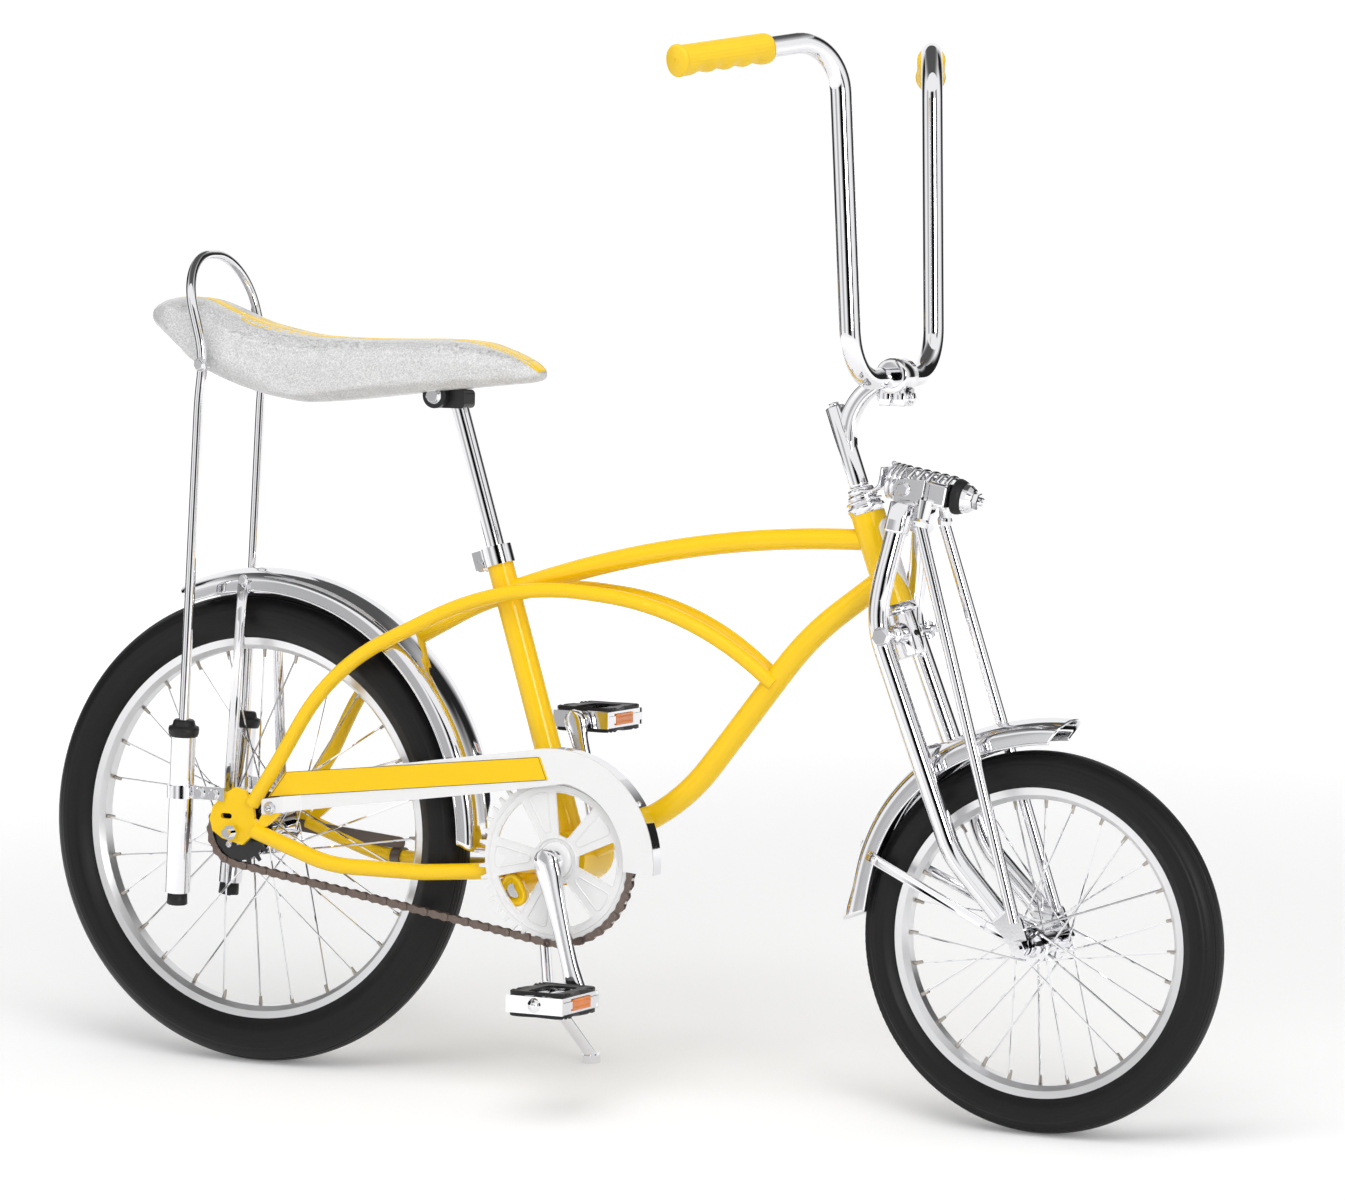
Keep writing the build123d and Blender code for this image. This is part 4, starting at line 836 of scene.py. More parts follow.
def gripParts():
    parts = []
    for side in (-1, 1):
        way = Vector((barWay.x, side * barWay.y, barWay.z))
        end = Vector((barEnd.x, side * barEnd.y, barEnd.z)) + way * grips["past"]
        down = (way * way.dot(riseWay) - riseWay).normalized()
        across = way.cross(down)
        rings = []
        distances = [0.0, 0.4, 1.5, 3, 4.5, 6, 7] + [8 + i * 1.5 for i in range(72)]
        distances += [117, 118.5, grips["length"]]
        for distance in distances:
            ring = []
            taper = grips["radius"]
            if distance < grips["flareEnd"]:
                taper += grips["flare"] * (2 * min(1, distance / grips["flareStart"]) - 1)
            if distance > grips["taperFrom"]:
                taper -= (distance - grips["taperFrom"]) * grips["taper"]
            for j in range(4 * grips["ribs"]):
                angle = 2 * pi * j / (4 * grips["ribs"])
                toDown = cos(angle)
                radius = taper
                if grips["ribbed"][0] < distance < grips["ribbed"][1] and toDown > -0.55:
                    radius += grips["ribDepth"] * (0.5 + 0.5 * cos(angle * grips["ribs"])) - grips["ribDepth"]
                if toDown > 0.2:
                    dip = sum(exp(-((distance - n) / grips["notchWidth"]) ** 2) for n in grips["notches"])
                    radius += (1.0 - grips["notchDepth"] * dip) * min(1, (toDown - 0.2) / 0.5)
                radius = min(radius, grips["largest"])
                ring.append(end - way * distance + (down * cos(angle) + across * sin(angle)) * radius)
            rings.append(ring)
        parts.append(loft(rings))
        # the raised rim about the small hole in the end
        circle = [end + way * 0.2 + (down * cos(2 * pi * i / 20) + across * sin(2 * pi * i / 20)) * grips["eye"]
                  for i in range(20)]
        parts.append(tube(circle, grips["eyeWire"], 8, closed=True))
    return parts


addPiece("gripCovers", *joinParts(gripParts()), "fork", "yellow_vinyl", "yellowGrip", ("grips",))
print("grips done")

# Small shapes shared by the fittings
def prism(outline, origin, acrossWay, upWay, depthWay, low, high, bevel=0.0):
    # A block whose (across, up) outline is carried from low to high along depthWay, with chamfered edges
    middle = Vector((sum(p[0] for p in outline) / len(outline), sum(p[1] for p in outline) / len(outline)))
    rings = []
    steps = [(low, 0), (high, 0)]
    if bevel:
        steps = [(low, bevel), (low + bevel, 0), (high - bevel, 0), (high, bevel)]
    for depth, inset in steps:
        ring = []
        for across, up in outline:
            spot = Vector((across, up))
            away = spot - middle
            if inset and away.length > inset:
                spot = spot - away.normalized() * inset
            ring.append(origin + acrossWay * spot.x + upWay * spot.y + depthWay * depth)
        rings.append(ring)
    return loft(rings)


def roundedBox(halfAcross, halfUp, corner, steps=4):
    points = []
    for sx, sy, first in ((1, 1, 0), (-1, 1, 90), (-1, -1, 180), (1, -1, 270)):
        for i in range(steps + 1):
            turn = radians(first + 90 * i / steps)
            points.append((sx * (halfAcross - corner) + corner * cos(turn),
                           sy * (halfUp - corner) + corner * sin(turn)))
    return points


def frameFor(way):
    # Two ways square to the given one and to each other, and the given one
    way = Vector(way).normalized()
    side = levelWay - way * way.y
    if side.length < 0.01:
        side = aheadWay - way * way.x
    side.normalize()
    return side, way.cross(side).normalized(), way


def squared(value, power):
    # A sine or cosine bent towards the corners of a square
    return abs(value) ** power * (1 if value > 0 else -1)


def hexPoints(radius, turn=0.0):
    return [(radius * cos(radians(60 * i + turn)), radius * sin(radians(60 * i + turn))) for i in range(6)]


def spin(profile, origin, way, sides=28):
    # A (distance, radius) profile turned about the way through origin
    side, other, way = frameFor(way)
    rings = []
    for distance, radius in profile:
        rings.append([Vector(origin) + way * distance
                      + (side * cos(2 * pi * j / sides) + other * sin(2 * pi * j / sides)) * max(radius, 0.05)
                      for j in range(sides)])
    return loft(rings)


def bolt(origin, way, size=5.0, washer=8.0, height=4.0, stub=0.0):
    # A hex head on a washer, with the thread's end showing where stub is given
    side, other, along = frameFor(way)
    spot, under = Vector(origin), 1.1
    parts = [spin(((0, washer), (0.9, washer), (1.2, washer - 0.4)), spot, way),
             prism(hexPoints(size * 1.15, 12), spot, side, other, along, under, under + height, 0.5)]
    if stub:
        end = under + height + stub
        parts.append(spin(((0, size * 0.55), (end, size * 0.55), (end + 0.5, size * 0.35)), spot, way, 16))
    return joinParts(parts)


# Spring, its yoke and the nuts in front, placed along the spring's line
springs = {
    "start": Vector((742.0, 0.0, 663.5)), "angle": 10.3, "wire": 2.6, "radius": 17.4, "tightTurns": 3.0,
    "tightPitch": 5.7, "turns": 8.1, "pitch": 10.4,
    "plateInner": 23.8, "plateOuter": 27.6, "halfHeight": 12.2, "blockStart": 57.8, "blockEnd": 77.4,
    "pivot": Vector((772.0, 0.0, 656.0)), "eye": 11.5, "pivotBolt": (5.6, 7.4, 3.4),
    # the socket over each thin front strut: its foot and top, and its radius at four places between them
    "socketFoot": Vector((793, 31, 618)), "socketTop": Vector((797.5, 27.5, 645)),
    "socket": ((0.0, 7.0), (0.18, 8.2), (0.3, 6.6), (1.0, 8.4)),
    "rubber": ((78.0, 14), (78.6, 18.4), (80.5, 18.9), (84, 18.2), (87.6, 16.6), (88.2, 15.2)),
    "cup": ((88.3, 14.8), (89, 15.4), (94.5, 14.6), (98.5, 11.6), (99.4, 9.6)),
    "nut": (9.2, 99.2, 105.4), "stud": ((105, 4.6), (108.6, 4.6), (109.8, 3.2)),
}
springWay = Vector((cos(radians(springs["angle"])), 0, -sin(radians(springs["angle"]))))
springUp = Vector((sin(radians(springs["angle"])), 0, cos(radians(springs["angle"]))))


def springPoint(distance, lateral=0.0, height=0.0):
    return springs["start"] + springWay * distance + levelWay * lateral + springUp * height


def addSpring():
    points = []
    steps = 26 * int(springs["turns"] + 1)
    for i in range(steps + 1):
        turns = springs["turns"] * i / steps
        wide = max(0.0, turns - springs["tightTurns"])
        along = springs["wire"] + 0.4 + (turns - wide) * springs["tightPitch"] + wide * springs["pitch"]
        turn = 2 * pi * turns
        points.append(springPoint(along, springs["radius"] * sin(turn), springs["radius"] * cos(turn) + 0.8))
    verts, faces = tube(points, springs["wire"], 12)
    addPiece("coilSpring", verts, faces, "fork", "chrome", "chrome", ("fork_spring",))


def addYoke():
    parts = []
    pivotAlong = (springs["pivot"] - springs["start"]).dot(springWay)
    pivotUp = (springs["pivot"] - springs["start"]).dot(springUp)
    high, low = springs["halfHeight"], -springs["halfHeight"]
    start, radius = springs["blockStart"], springs["eye"]
    outline = [(start - 5, low + 1.5), (start - 5, high - 0.5)]
    outline += [(pivotAlong + radius * cos(radians(a)), pivotUp + radius * sin(radians(a)))
                for a in range(80, 281, 20)]
    neck = [(start - 6, low + 2.5), (start + 1, low + 2.5), (start + 1, high - 2.5), (start - 6, high - 2.5)]
    for side in (-1, 1):
        inner, outer = sorted((side * springs["plateInner"], side * springs["plateOuter"]))
        parts.append(prism(outline, springs["start"], springWay, springUp, levelWay, inner, outer, 0.6))
        neckIn, neckOut = sorted((side * (springs["plateInner"] - 1.0), side * (springs["plateOuter"] - 3.0)))
        parts.append(prism(neck, springs["start"], springWay, springUp, levelWay, neckIn, neckOut))
        outward = levelWay * side
        parts.append(bolt(springs["pivot"] + outward * springs["plateOuter"], outward, *springs["pivotBolt"]))
        flip = Vector((1, side, 1))
        foot, top = springs["socketFoot"] * flip, springs["socketTop"] * flip
        parts.append(tube([foot + (top - foot) * place for place, _ in springs["socket"]],
                          [radius for _, radius in springs["socket"]], 20))
    block = roundedBox(springs["plateOuter"] - 0.2, springs["halfHeight"], 3.0)
    parts.append(prism(block, springs["start"], levelWay, springUp, springWay, start, springs["blockEnd"], 1.4))
    addPiece("forkYoke", *joinParts(parts), "fork", "chrome", "chrome", ("spring_yoke",), smooth=False)


def addSpringFront():
    start = springs["start"]
    rubber = spin(springs["rubber"], start, springWay, 36)
    addPiece("springRubber", *rubber, "fork", "black_rubber", "blackRubber", ("spring_buffer",))
    nutRadius, nutLow, nutHigh = springs["nut"]
    parts = [spin(springs["cup"], start, springWay, 36),
             prism(hexPoints(nutRadius, 8), start, *frameFor(springWay), nutLow, nutHigh, 0.8),
             spin(springs["stud"], start, springWay, 18)]
    addPiece("springNuts", *joinParts(parts), "fork", "chrome", "chrome", ("spring_nuts",), smooth=False)


addSpring()
addYoke()
addSpringFront()
print("spring done")

# Headset, stem and badge, placed down the steering axis
head = {
    "top": Vector((715.0, 0.0, 641.6)), "angle": 69.9,
    "upper": ((-12.3, 10), (-12.3, 13.6), (-11.5, 14.4), (-6.8, 14.4), (-6.2, 13.4), (-5.4, 16.2), (-1.6, 16.8),
              (-0.8, 14.2), (0.4, 14.2), (0.8, 19.6), (1.8, 20.2), (3.0, 20.0), (3.5, 17.6), (5.6, 17.6),
              (5.7, 13)),
    "upperCup": ((6.0, 14), (6.1, 19.6), (7.0, 20.4), (10.5, 20.4), (11.6, 19.0), (14.9, 18.7), (15, 14)),
    "lowerCup": ((114.0, 14), (114.1, 18.7), (117.4, 19.0), (118.6, 20.4), (122.0, 20.4), (122.9, 19.4),
                 (123, 14)),
    # the perch behind the spring, a strip that bends up from the locknut, as (x, z)
    "perch": ((716.0, 652.0), (730.0, 652.8), (737.6, 657.5), (740.2, 666.0), (740.8, 677.0)),
    "perchHalf": 15.0, "perchTip": 13.0, "perchThick": 2.6,
}
headSlope = radians(90 - head["angle"])
headDown = Vector((sin(headSlope), 0, -cos(headSlope)))
headAhead = Vector((cos(headSlope), 0, sin(headSlope)))


def headPoint(distance, ahead=0.0, lateral=0.0):
    return head["top"] + headDown * distance + headAhead * ahead + levelWay * lateral


def addHeadset():
    cups = [spin(head[key], head["top"], headDown, 40) for key in ("upperCup", "lowerCup")]
    addPiece("headCups", *joinParts(cups), "frame", "chrome", "chrome", ("headset_cups",))
    path, rings = alongTable(head["perch"], 2.0), []
    for index, spot in enumerate(path):
        way = pathWay(path, index)
        toTip = max(0, index / (len(path) - 1) - 0.8) * 5
        across = levelWay * (head["perchHalf"] - (head["perchHalf"] - head["perchTip"]) * toTip)
        thick = Vector((-way.y, 0, way.x)) * head["perchThick"] / 2
        centre = Vector((spot.x, 0, spot.y))
        rings.append([centre + thick + across, centre - thick + across, centre - thick - across,
                      centre + thick - across])
    nuts = spin(head["upper"], head["top"], headDown, 40)
    addPiece("headNuts", *joinParts([nuts, loft(rings)]), "fork", "chrome", "chrome", ("headset_nuts",))


stem = {
    "quillTop": -101.6, "quillEnd": -17.0, "quillRadius": 10.7, "clamp": Vector((750.0, 0.0, 771.0)),
    "clampRadius": 18.3, "clampHalf": 15.8, "barRadius": 11.1, "armDeep": 8.6, "armWide": 9.2, "jawDrop": 22.5,
    "jaws": ((-14.6, -1.6), (1.6, 14.6)), "pinBolt": (5.2, 7.0, 5.0), "tailBolt": (5.0, 6.4, 4.0, 2.0),
    "wedgeBolt": (5.0, 6.0, 4.0),
    "arm": ((707, 661), (699, 682), (695.5, 706), (699.5, 730), (712, 750), (731, 764), (742, 768)),
}


def addStem():
    top, end, radius = stem["quillTop"], stem["quillEnd"], stem["quillRadius"]
    quill = spin(((top, 8.2), (top, 10.0), (top + 1, radius), (end, radius), (end + 3, radius)), head["top"],
                 headDown, 36)
    hollow = spin(((top - 0.1, 6.6), (top + 0.6, 7.4)), head["top"], headDown, 24)
    path, rings = alongTable(stem["arm"], 3.0), []
    for index, spot in enumerate(path):
        way = pathWay(path, index)
        out = Vector((-way.y, 0, way.x))
        centre = Vector((spot.x, 0, spot.y))
        share = index / (len(path) - 1)
        deep, wide = stem["armDeep"] + 1.2 * sin(pi * share), stem["armWide"]
        ring = []
        for j in range(32):
            turn = 2 * pi * j / 32
            across, up = cos(turn), sin(turn)
            spotAcross, spotUp = wide * squared(across, 0.6), deep * squared(up, 0.6)
            # the groove along each side of the arm
            if abs(up) < 0.42 and 0.06 < share < 0.94:
                spotAcross -= 1.7 * (1 if across > 0 else -1) * cos(up / 0.42 * pi / 2)
            ring.append(centre + levelWay * spotAcross + out * spotUp)
        rings.append(ring)
    arm = loft(rings)
    half, bore, radius, edge = stem["clampHalf"], stem["barRadius"] + 0.3, stem["clampRadius"], 1.6
    ringOut = spin(((-half, bore), (-half, radius - edge), (-half + edge, radius), (half - edge, radius),
                    (half, radius - edge), (half, bore)), stem["clamp"], levelWay, 44)
    jaws = [prism([(low, -31), (high, -31), (high, -13), (low, -13)], stem["clamp"], aheadWay, riseWay,
                  levelWay, -13.5, 13.5, 1.2) for low, high in stem["jaws"]]
    through = stem["clamp"] - riseWay * stem["jawDrop"]
    pin = bolt(through + aheadWay * 14.4, aheadWay, *stem["pinBolt"])
    tail = bolt(through - aheadWay * 14.4, -aheadWay, *stem["tailBolt"])
    shank = spin(((-15, 3.6), (15, 3.6)), through, aheadWay, 14)
    wedge = bolt(headPoint(top + 1.0), -headDown, *stem["wedgeBolt"])
    addPiece("gooseneck", *joinParts([quill, hollow, arm, ringOut, *jaws, pin, tail, shank, wedge]), "fork",
             "chrome", "chrome", ("stem",))


badge = {
    "first": 26.0, "last": 100.0, "radius": 18.5, "half": 46.0, "thick": 0.8, "rows": 36, "columns": 12,
    "sunk": 0.4, "edge": 0.35, "roundTo": 0.12, "taperFrom": 0.45,
}


def addBadge():
    # A blank plate round the front of the head tube, pointed at its foot
    rings = []
    rows, columns, low = badge["rows"], badge["columns"], badge["radius"] - badge["sunk"]
    for i in range(rows + 1):
        share = i / rows
        distance = badge["first"] + (badge["last"] - badge["first"]) * share
        half = badge["half"]
        if share < badge["roundTo"]:
            half *= 0.55 + 0.45 * sin(share / badge["roundTo"] * pi / 2)
        elif share >= badge["taperFrom"]:
            half = half * (1 - ((share - badge["taperFrom"]) / (1 - badge["taperFrom"])) ** 1.7) + 1.2
        turns = [radians(half * (2 * j / columns - 1)) for j in range(columns + 1)]
        outer = []
        for j, turn in enumerate(turns):
            high = badge["radius"] + badge["thick"] - (badge["edge"] if j in (0, columns) else 0)
            outer.append(headPoint(distance, high * cos(turn), high * sin(turn)))
        inner = [headPoint(distance, low * cos(turn), low * sin(turn)) for turn in reversed(turns)]
        rings.append(outer + inner)
    addPiece("headBadge", *loft(rings), "frame", "white_paint", "whitePaint")


crownHeight = 506.0  # where the blades' pivot crosses the steering axis
crownPivot = headPoint((head["top"].z - crownHeight) / cos(headSlope))
crown = {
    "body": ((123.4, 11), (123.6, 15.4), (124.6, 16.0), (168.6, 16.0), (169.6, 15.2), (169.8, 9)),
    "arm": ((8, 12.5), (16, 12.0), (24, 9.6), (32.2, 9.0)), "spindle": 5.0, "spindleHalf": 56.0,
    # painted shade: three flat dark discs on the crown stand for the shade inside its holes; their ways, height
    # and radius
    "paintedHoleShade": ((-0.33, -0.94), (0.94, -0.33), (0.33, 0.94)), "holeHeight": 148.0, "holeRadius": 3.3,
    "sleeve": (Vector((771.2, 26.4, 641.0)), Vector((766.6, 32.2, 610.0))), "sleeveAlong": 10.9,
    "sleeveOut": 11.6, "boltOut": 58.4, "bolt": (7.6, 10.0, 5.4),
}


def addCrown():
    half, radius = crown["spindleHalf"], crown["spindle"]
    parts = [spin(crown["body"], head["top"], headDown, 44),
             spin(((-half, radius), (half, radius)), crownPivot, levelWay, 20)]
    for side in (-1, 1):
        outward, flip = levelWay * side, Vector((1, side, 1))
        parts.append(spin(crown["arm"], crownPivot, outward, 28))
        # the square-sided sleeve over the top of each blade
        high, low = crown["sleeve"][0] * flip, crown["sleeve"][1] * flip
        way = (low - high).normalized()
        out = (outward - way * outward.dot(way)).normalized()
        across = way.cross(out)
        rings = []
        for place, grow in ((0.0, -0.6), (0.03, 0.0), (0.90, 0.0), (0.97, -0.4), (1.0, -1.6)):
            ring = []
            for u, v in roundedBox(crown["sleeveAlong"] + grow, crown["sleeveOut"] + grow, 4.6):
                ring.append(high + (low - high) * place + across * u + out * v)
            rings.append(ring)
        parts.append(loft(rings))
    addPiece("forkCrownBody", *joinParts(parts), "fork", "chrome", "chrome", ("fork_crown",))
    # painted shade: flat black discs on the crown's surface stand for the shade inside its three holes, which
    # are not cut
    paintedHoleShade = []
    for ahead, lateral in crown["paintedHoleShade"]:
        way = (headAhead * ahead + levelWay * lateral).normalized()
        spot = headPoint(crown["holeHeight"]) + way * 15.8
        paintedHoleShade.append(spin(((0, crown["holeRadius"]), (0.35, crown["holeRadius"])), spot, way, 20))
    addPiece("forkCrownHoles", *joinParts(paintedHoleShade), "fork", "dark_steel", "blackPlastic")


addHeadset()
addStem()
addBadge()
addCrown()
print("headset and stem done")

# Drive: the chain's links follow its pitch line, from pin to pin
drive = {
    "line": -45.0, "pitch": 12.7, "ringTeeth": 44, "cogTeeth": 18,
    "plateRadius": 4.45, "waist": 3.1, "plateThick": 0.8, "outerPlate": 3.2, "innerPlate": 2.1, "roller": 3.8,
    "pinRadius": 1.7, "pinHalf": 3.9,
}


def onWheel(centre, radius, angle):
    # As aboutAxle, in degrees and as (x, z) only
    return aboutAxle(centre, radius, radians(angle)).xz


def chainPins():
    ringRadius = drive["pitch"] / (2 * sin(pi / drive["ringTeeth"]))
    cogRadius = drive["pitch"] / (2 * sin(pi / drive["cogTeeth"]))
    across = Vector(bracket) - Vector(wheels["rear"])
    tilt = degrees(atan2(across.y, across.x))
    wrap = degrees(asin((ringRadius - cogRadius) / across.length))
    ringStep, cogStep = 360 / drive["ringTeeth"], 360 / drive["cogTeeth"]
    ringLinks, cogLinks = int((180 + 2 * wrap) / ringStep), int((180 - 2 * wrap) / cogStep)
    front = [onWheel(bracket, ringRadius, tilt + (i - ringLinks / 2) * ringStep) for i in range(ringLinks + 1)]
    back = [onWheel(wheels["rear"], cogRadius, tilt + 180 + (i - cogLinks / 2) * cogStep)
            for i in range(cogLinks + 1)]
    pins = list(front)
    for start, end, more in ((front[-1], back[0], back), (back[-1], front[0], [])):
        count = round((end - start).length / drive["pitch"])
        pins += [start + (end - start) * i / count for i in range(1, count)] + more
    return pins


def linkPlates(offset):
    half = drive["pitch"] / 2
    radius = drive["plateRadius"]
    outline = []
    for centre, first in ((half, -110), (-half, 70)):
        outline += [tuple(onWheel((centre, 0), radius, first + 220 * i / 8)) for i in range(9)]
        outline.append((0, drive["waist"] if centre > 0 else -drive["waist"]))
    parts = []
    for side in (-1, 1):
        low = side * offset - drive["plateThick"] / 2
        parts.append(prism(outline, Vector((0, 0, 0)), aheadWay, riseWay, levelWay, low,
                           low + drive["plateThick"], 0.15))
    return parts


def addChain():
    pins = chainPins()
    links = ([], [])
    for index, start in enumerate(pins):
        end = pins[(index + 1) % len(pins)]
        middle = (start + end) / 2
        turn = atan2(start.y - end.y, end.x - start.x)
        links[index % 2].append(((middle.x, drive["line"], middle.y), (0, turn, 0)))
    pinSpots = [((p.x, drive["line"], p.y), (0, 0, 0)) for p in pins]
    outer, inner = joinParts(linkPlates(drive["outerPlate"])), joinParts(linkPlates(drive["innerPlate"]))
    origin, half, radius = Vector((0, 0, 0)), drive["pinHalf"], drive["pinRadius"]
    pin = joinParts([
        spin(((-half, radius - 0.4), (-half + 0.3, radius), (half - 0.3, radius), (half, radius - 0.4)), origin,
             levelWay, 10),
        spin(((-1.6, drive["roller"]), (1.6, drive["roller"])), origin, levelWay, 12),
    ])
    repeatPart("chainOuterLinks", outer, links[0], "frame", "chainSteel", ("chain",),
               smooth=False)
    repeatPart("chainInnerLinks", inner, links[1], "frame", "chainSteel", smooth=False)
    repeatPart("chainPins", pin, pinSpots, "frame", "chainSteel", smooth=False)


addChain()
print("chain done")

# Chainring: pressed welts round the windows and on the spokes between them
welts = {
    "face": -46.5, "windows": 5, "inner": 27.0, "outer": 72.0, "innerHalf": 6.0, "halfAngle": 19.5,
    "spokeInner": 31.0, "spokeOuter": 72.0, "spokeInnerHalf": 3.4, "spokeHalfAngle": 9.6, "welt": 0.8,
    "windowWelt": 0.7, "windowGrow": 1.4, "circles": ((79.5, 0.8), (24.0, 1.2)),
    "boss": ((0, 11.5), (0, 20.0), (-2.4, 18.5), (-4.6, 15.5), (-4.6, 11.5)),
}


def wedgeLoop(middle, inner, outer, innerHalf, halfAngle, grow=0.0):
    # A closed wedge outline as (x, z) from the bracket, its corners rounded
    corners = []
    first = degrees(atan2(innerHalf, inner))
    for radius, turn in ((inner - grow, -first), (inner - grow, first), (outer + grow, halfAngle),
                         (outer + grow + 1.0, 0), (outer + grow, -halfAngle)):
        corners.append(onWheel((0, 0), radius, middle + turn))
    points = []
    for i, corner in enumerate(corners):
        before, after = corners[i - 1], corners[(i + 1) % len(corners)]
        reach = min(4.0, (before - corner).length * 0.45, (after - corner).length * 0.45)
        start = corner + (before - corner).normalized() * reach
        end = corner + (after - corner).normalized() * reach
        for step in range(5):
            t = step / 4
            points.append(start * (1 - t)**2 + corner * 2 * t * (1 - t) + end * t**2)
    return points


def addRingRelief():
    parts = []
    origin = Vector((bracket[0], welts["face"], bracket[1]))
    for index in range(welts["windows"]):
        middle = 360 / welts["windows"] * index
        loops = (
            (wedgeLoop(middle, welts["inner"], welts["outer"], welts["innerHalf"], welts["halfAngle"],
                       welts["windowGrow"]), welts["windowWelt"]),
            (wedgeLoop(middle + 180 / welts["windows"], welts["spokeInner"], welts["spokeOuter"],
                       welts["spokeInnerHalf"], welts["spokeHalfAngle"]), welts["welt"]),
        )
        for loop, size in loops:
            parts.append(tube([origin + Vector((p.x, 0, p.y)) for p in loop], size, 8, closed=True))
    for radius, size in welts["circles"]:
        circle = [aboutAxle(bracket, radius, 2 * pi * i / 96, welts["face"]) for i in range(96)]
        parts.append(tube(circle, size, 8, closed=True))
    parts.append(spin(welts["boss"], origin, levelWay, 48))
    addPiece("chainringWelts", *joinParts(parts), "crankset", "white_paint", "whitePaint")


addRingRelief()

# Crank: one forged bar, its arms tapering from the bracket to the pedals
crank = {
    "length": 143.0, "angle": -74.6, "offset": 67.0, "bossRadius": 14.5, "endRadius": 11.7, "thick": 13.0,
    "widths": ((0, 26.5), (14, 27.5), (30, 24.0), (70, 19.5), (110, 18.0), (130, 21.5), (143, 23.5),
               (154, 12.0)),
    "collar": ((-0.4, 8.4), (1.2, 8.4), (1.6, 7.6), (5.4, 7.2), (5.8, 5.4)),
    "pedalAxle": ((5.5, 5.4), (94, 5.3)), "spindle": ((-73, 10.9), (73, 10.9)),
    "cone": ((34.3, 17), (34.6, 20.5), (37.4, 20.5), (38.4, 16.0), (42, 15.0), (42.5, 11)),
}


def crankEye(side):
    turn = radians(crank["angle"] + (0 if side < 0 else 180))
    return aboutAxle(bracket, crank["length"], turn, side * crank["offset"])


def addCrank():
    parts = []
    for side in (-1, 1):
        eye = crankEye(side)
        base = Vector((bracket[0], side * crank["offset"], bracket[1]))
        way = (eye - base).normalized()
        across = way.cross(levelWay)
        rings = []
        whole = crank["bossRadius"] + crank["length"] + crank["endRadius"] - 0.1
        for i in range(49):
            along = -crank["bossRadius"] + whole * i / 48
            if along < 0:
                half = sqrt(max(0.05, crank["bossRadius"]**2 - along**2))
            elif along > crank["length"]:
                half = sqrt(max(0.05, crank["endRadius"]**2 - (along - crank["length"])**2))
            else:
                half = smoothTable(crank["widths"], along)[0] / 2
            share = min(1, max(0, along / crank["length"]))
            thick = (crank["thick"] / 2 - 0.1) * (1 - 0.12 * sin(pi * share))
            ringPoints = []
            for j in range(28):
                turn = 2 * pi * j / 28
                ringPoints.append(base + way * along + across * half * squared(cos(turn), 0.75)
                                  + levelWay * thick * squared(sin(turn), 0.55))
            rings.append(ringPoints)
        parts.append(loft(rings))
        outward = levelWay * side
        inner = eye + outward * (crank["thick"] / 2)
        parts.append(spin(crank["collar"], inner, outward, 24))
        parts.append(spin(crank["pedalAxle"], inner, outward, 16))
    spindle = Vector((bracket[0], 0, bracket[1]))
    parts.append(spin(crank["spindle"], spindle, levelWay, 28))
    # a round cone on the right and a hex nut of the same profile on the left
    for side, sides in ((-1, 32), (1, 6)):
        parts.append(spin(crank["cone"], spindle, levelWay * side, sides))
    addPiece("crankBar", *joinParts(parts), "crankset", "chrome", "chrome", ("crank",))


addCrank()
print("crank done")

# Pedals: black blocks above and below a chrome cage, amber reflectors at both sides, a ball cap at the end
pedals = {
    "gap": 6.0, "long": 66.0, "wide": 84.0, "blockLow": 9.4, "blockHigh": 13.6, "blockHalfX": 35.0,
    "blockHalfY": 41.0, "innerX": 18.0, "innerY": 27.0,
    "screw": ((0, 3.6), (0.5, 3.9), (1.0, 3.4), (1.0, 2.2), (0.3, 2.0)),
    "dot": ((0, 1.4), (0.5, 0.9), (0.7, 0.2)),
}


def pedalBlock(middle, level):
    rings = []
    count = 88
    for j in range(count):
        turn = 2 * pi * j / count
        cx, cy = cos(turn), sin(turn)
        ex, ey = squared(cx, 0.35), squared(cy, 0.35)
        waist = 1 - 0.10 * (1 - abs(ey)) ** 2
        outerX = pedals["blockHalfX"] * ex * waist
        outerY = pedals["blockHalfY"] * ey * (1 - 0.12 * (1 - abs(ex)))
        tooth = 1.5 if (j // 2) % 2 and abs(ex) > 0.9 else 0.0
        low, high = pedals["blockLow"], pedals["blockHigh"]
        lip = high - tooth - 0.2
        bank = high - 1.4
        row = [(outerX, outerY, low), (outerX, outerY, lip - 0.6), (outerX * 0.97, outerY * 0.98, lip),
               (outerX * 0.72, outerY * 0.84, bank), (pedals["innerX"] * ex, pedals["innerY"] * ey, bank),
               (pedals["innerX"] * ex * 1.05, pedals["innerY"] * ey * 1.05, low)]
        rings.append([middle + Vector((x, y, z * level)) for x, y, z in row])
    return loft(rings, closed=True)


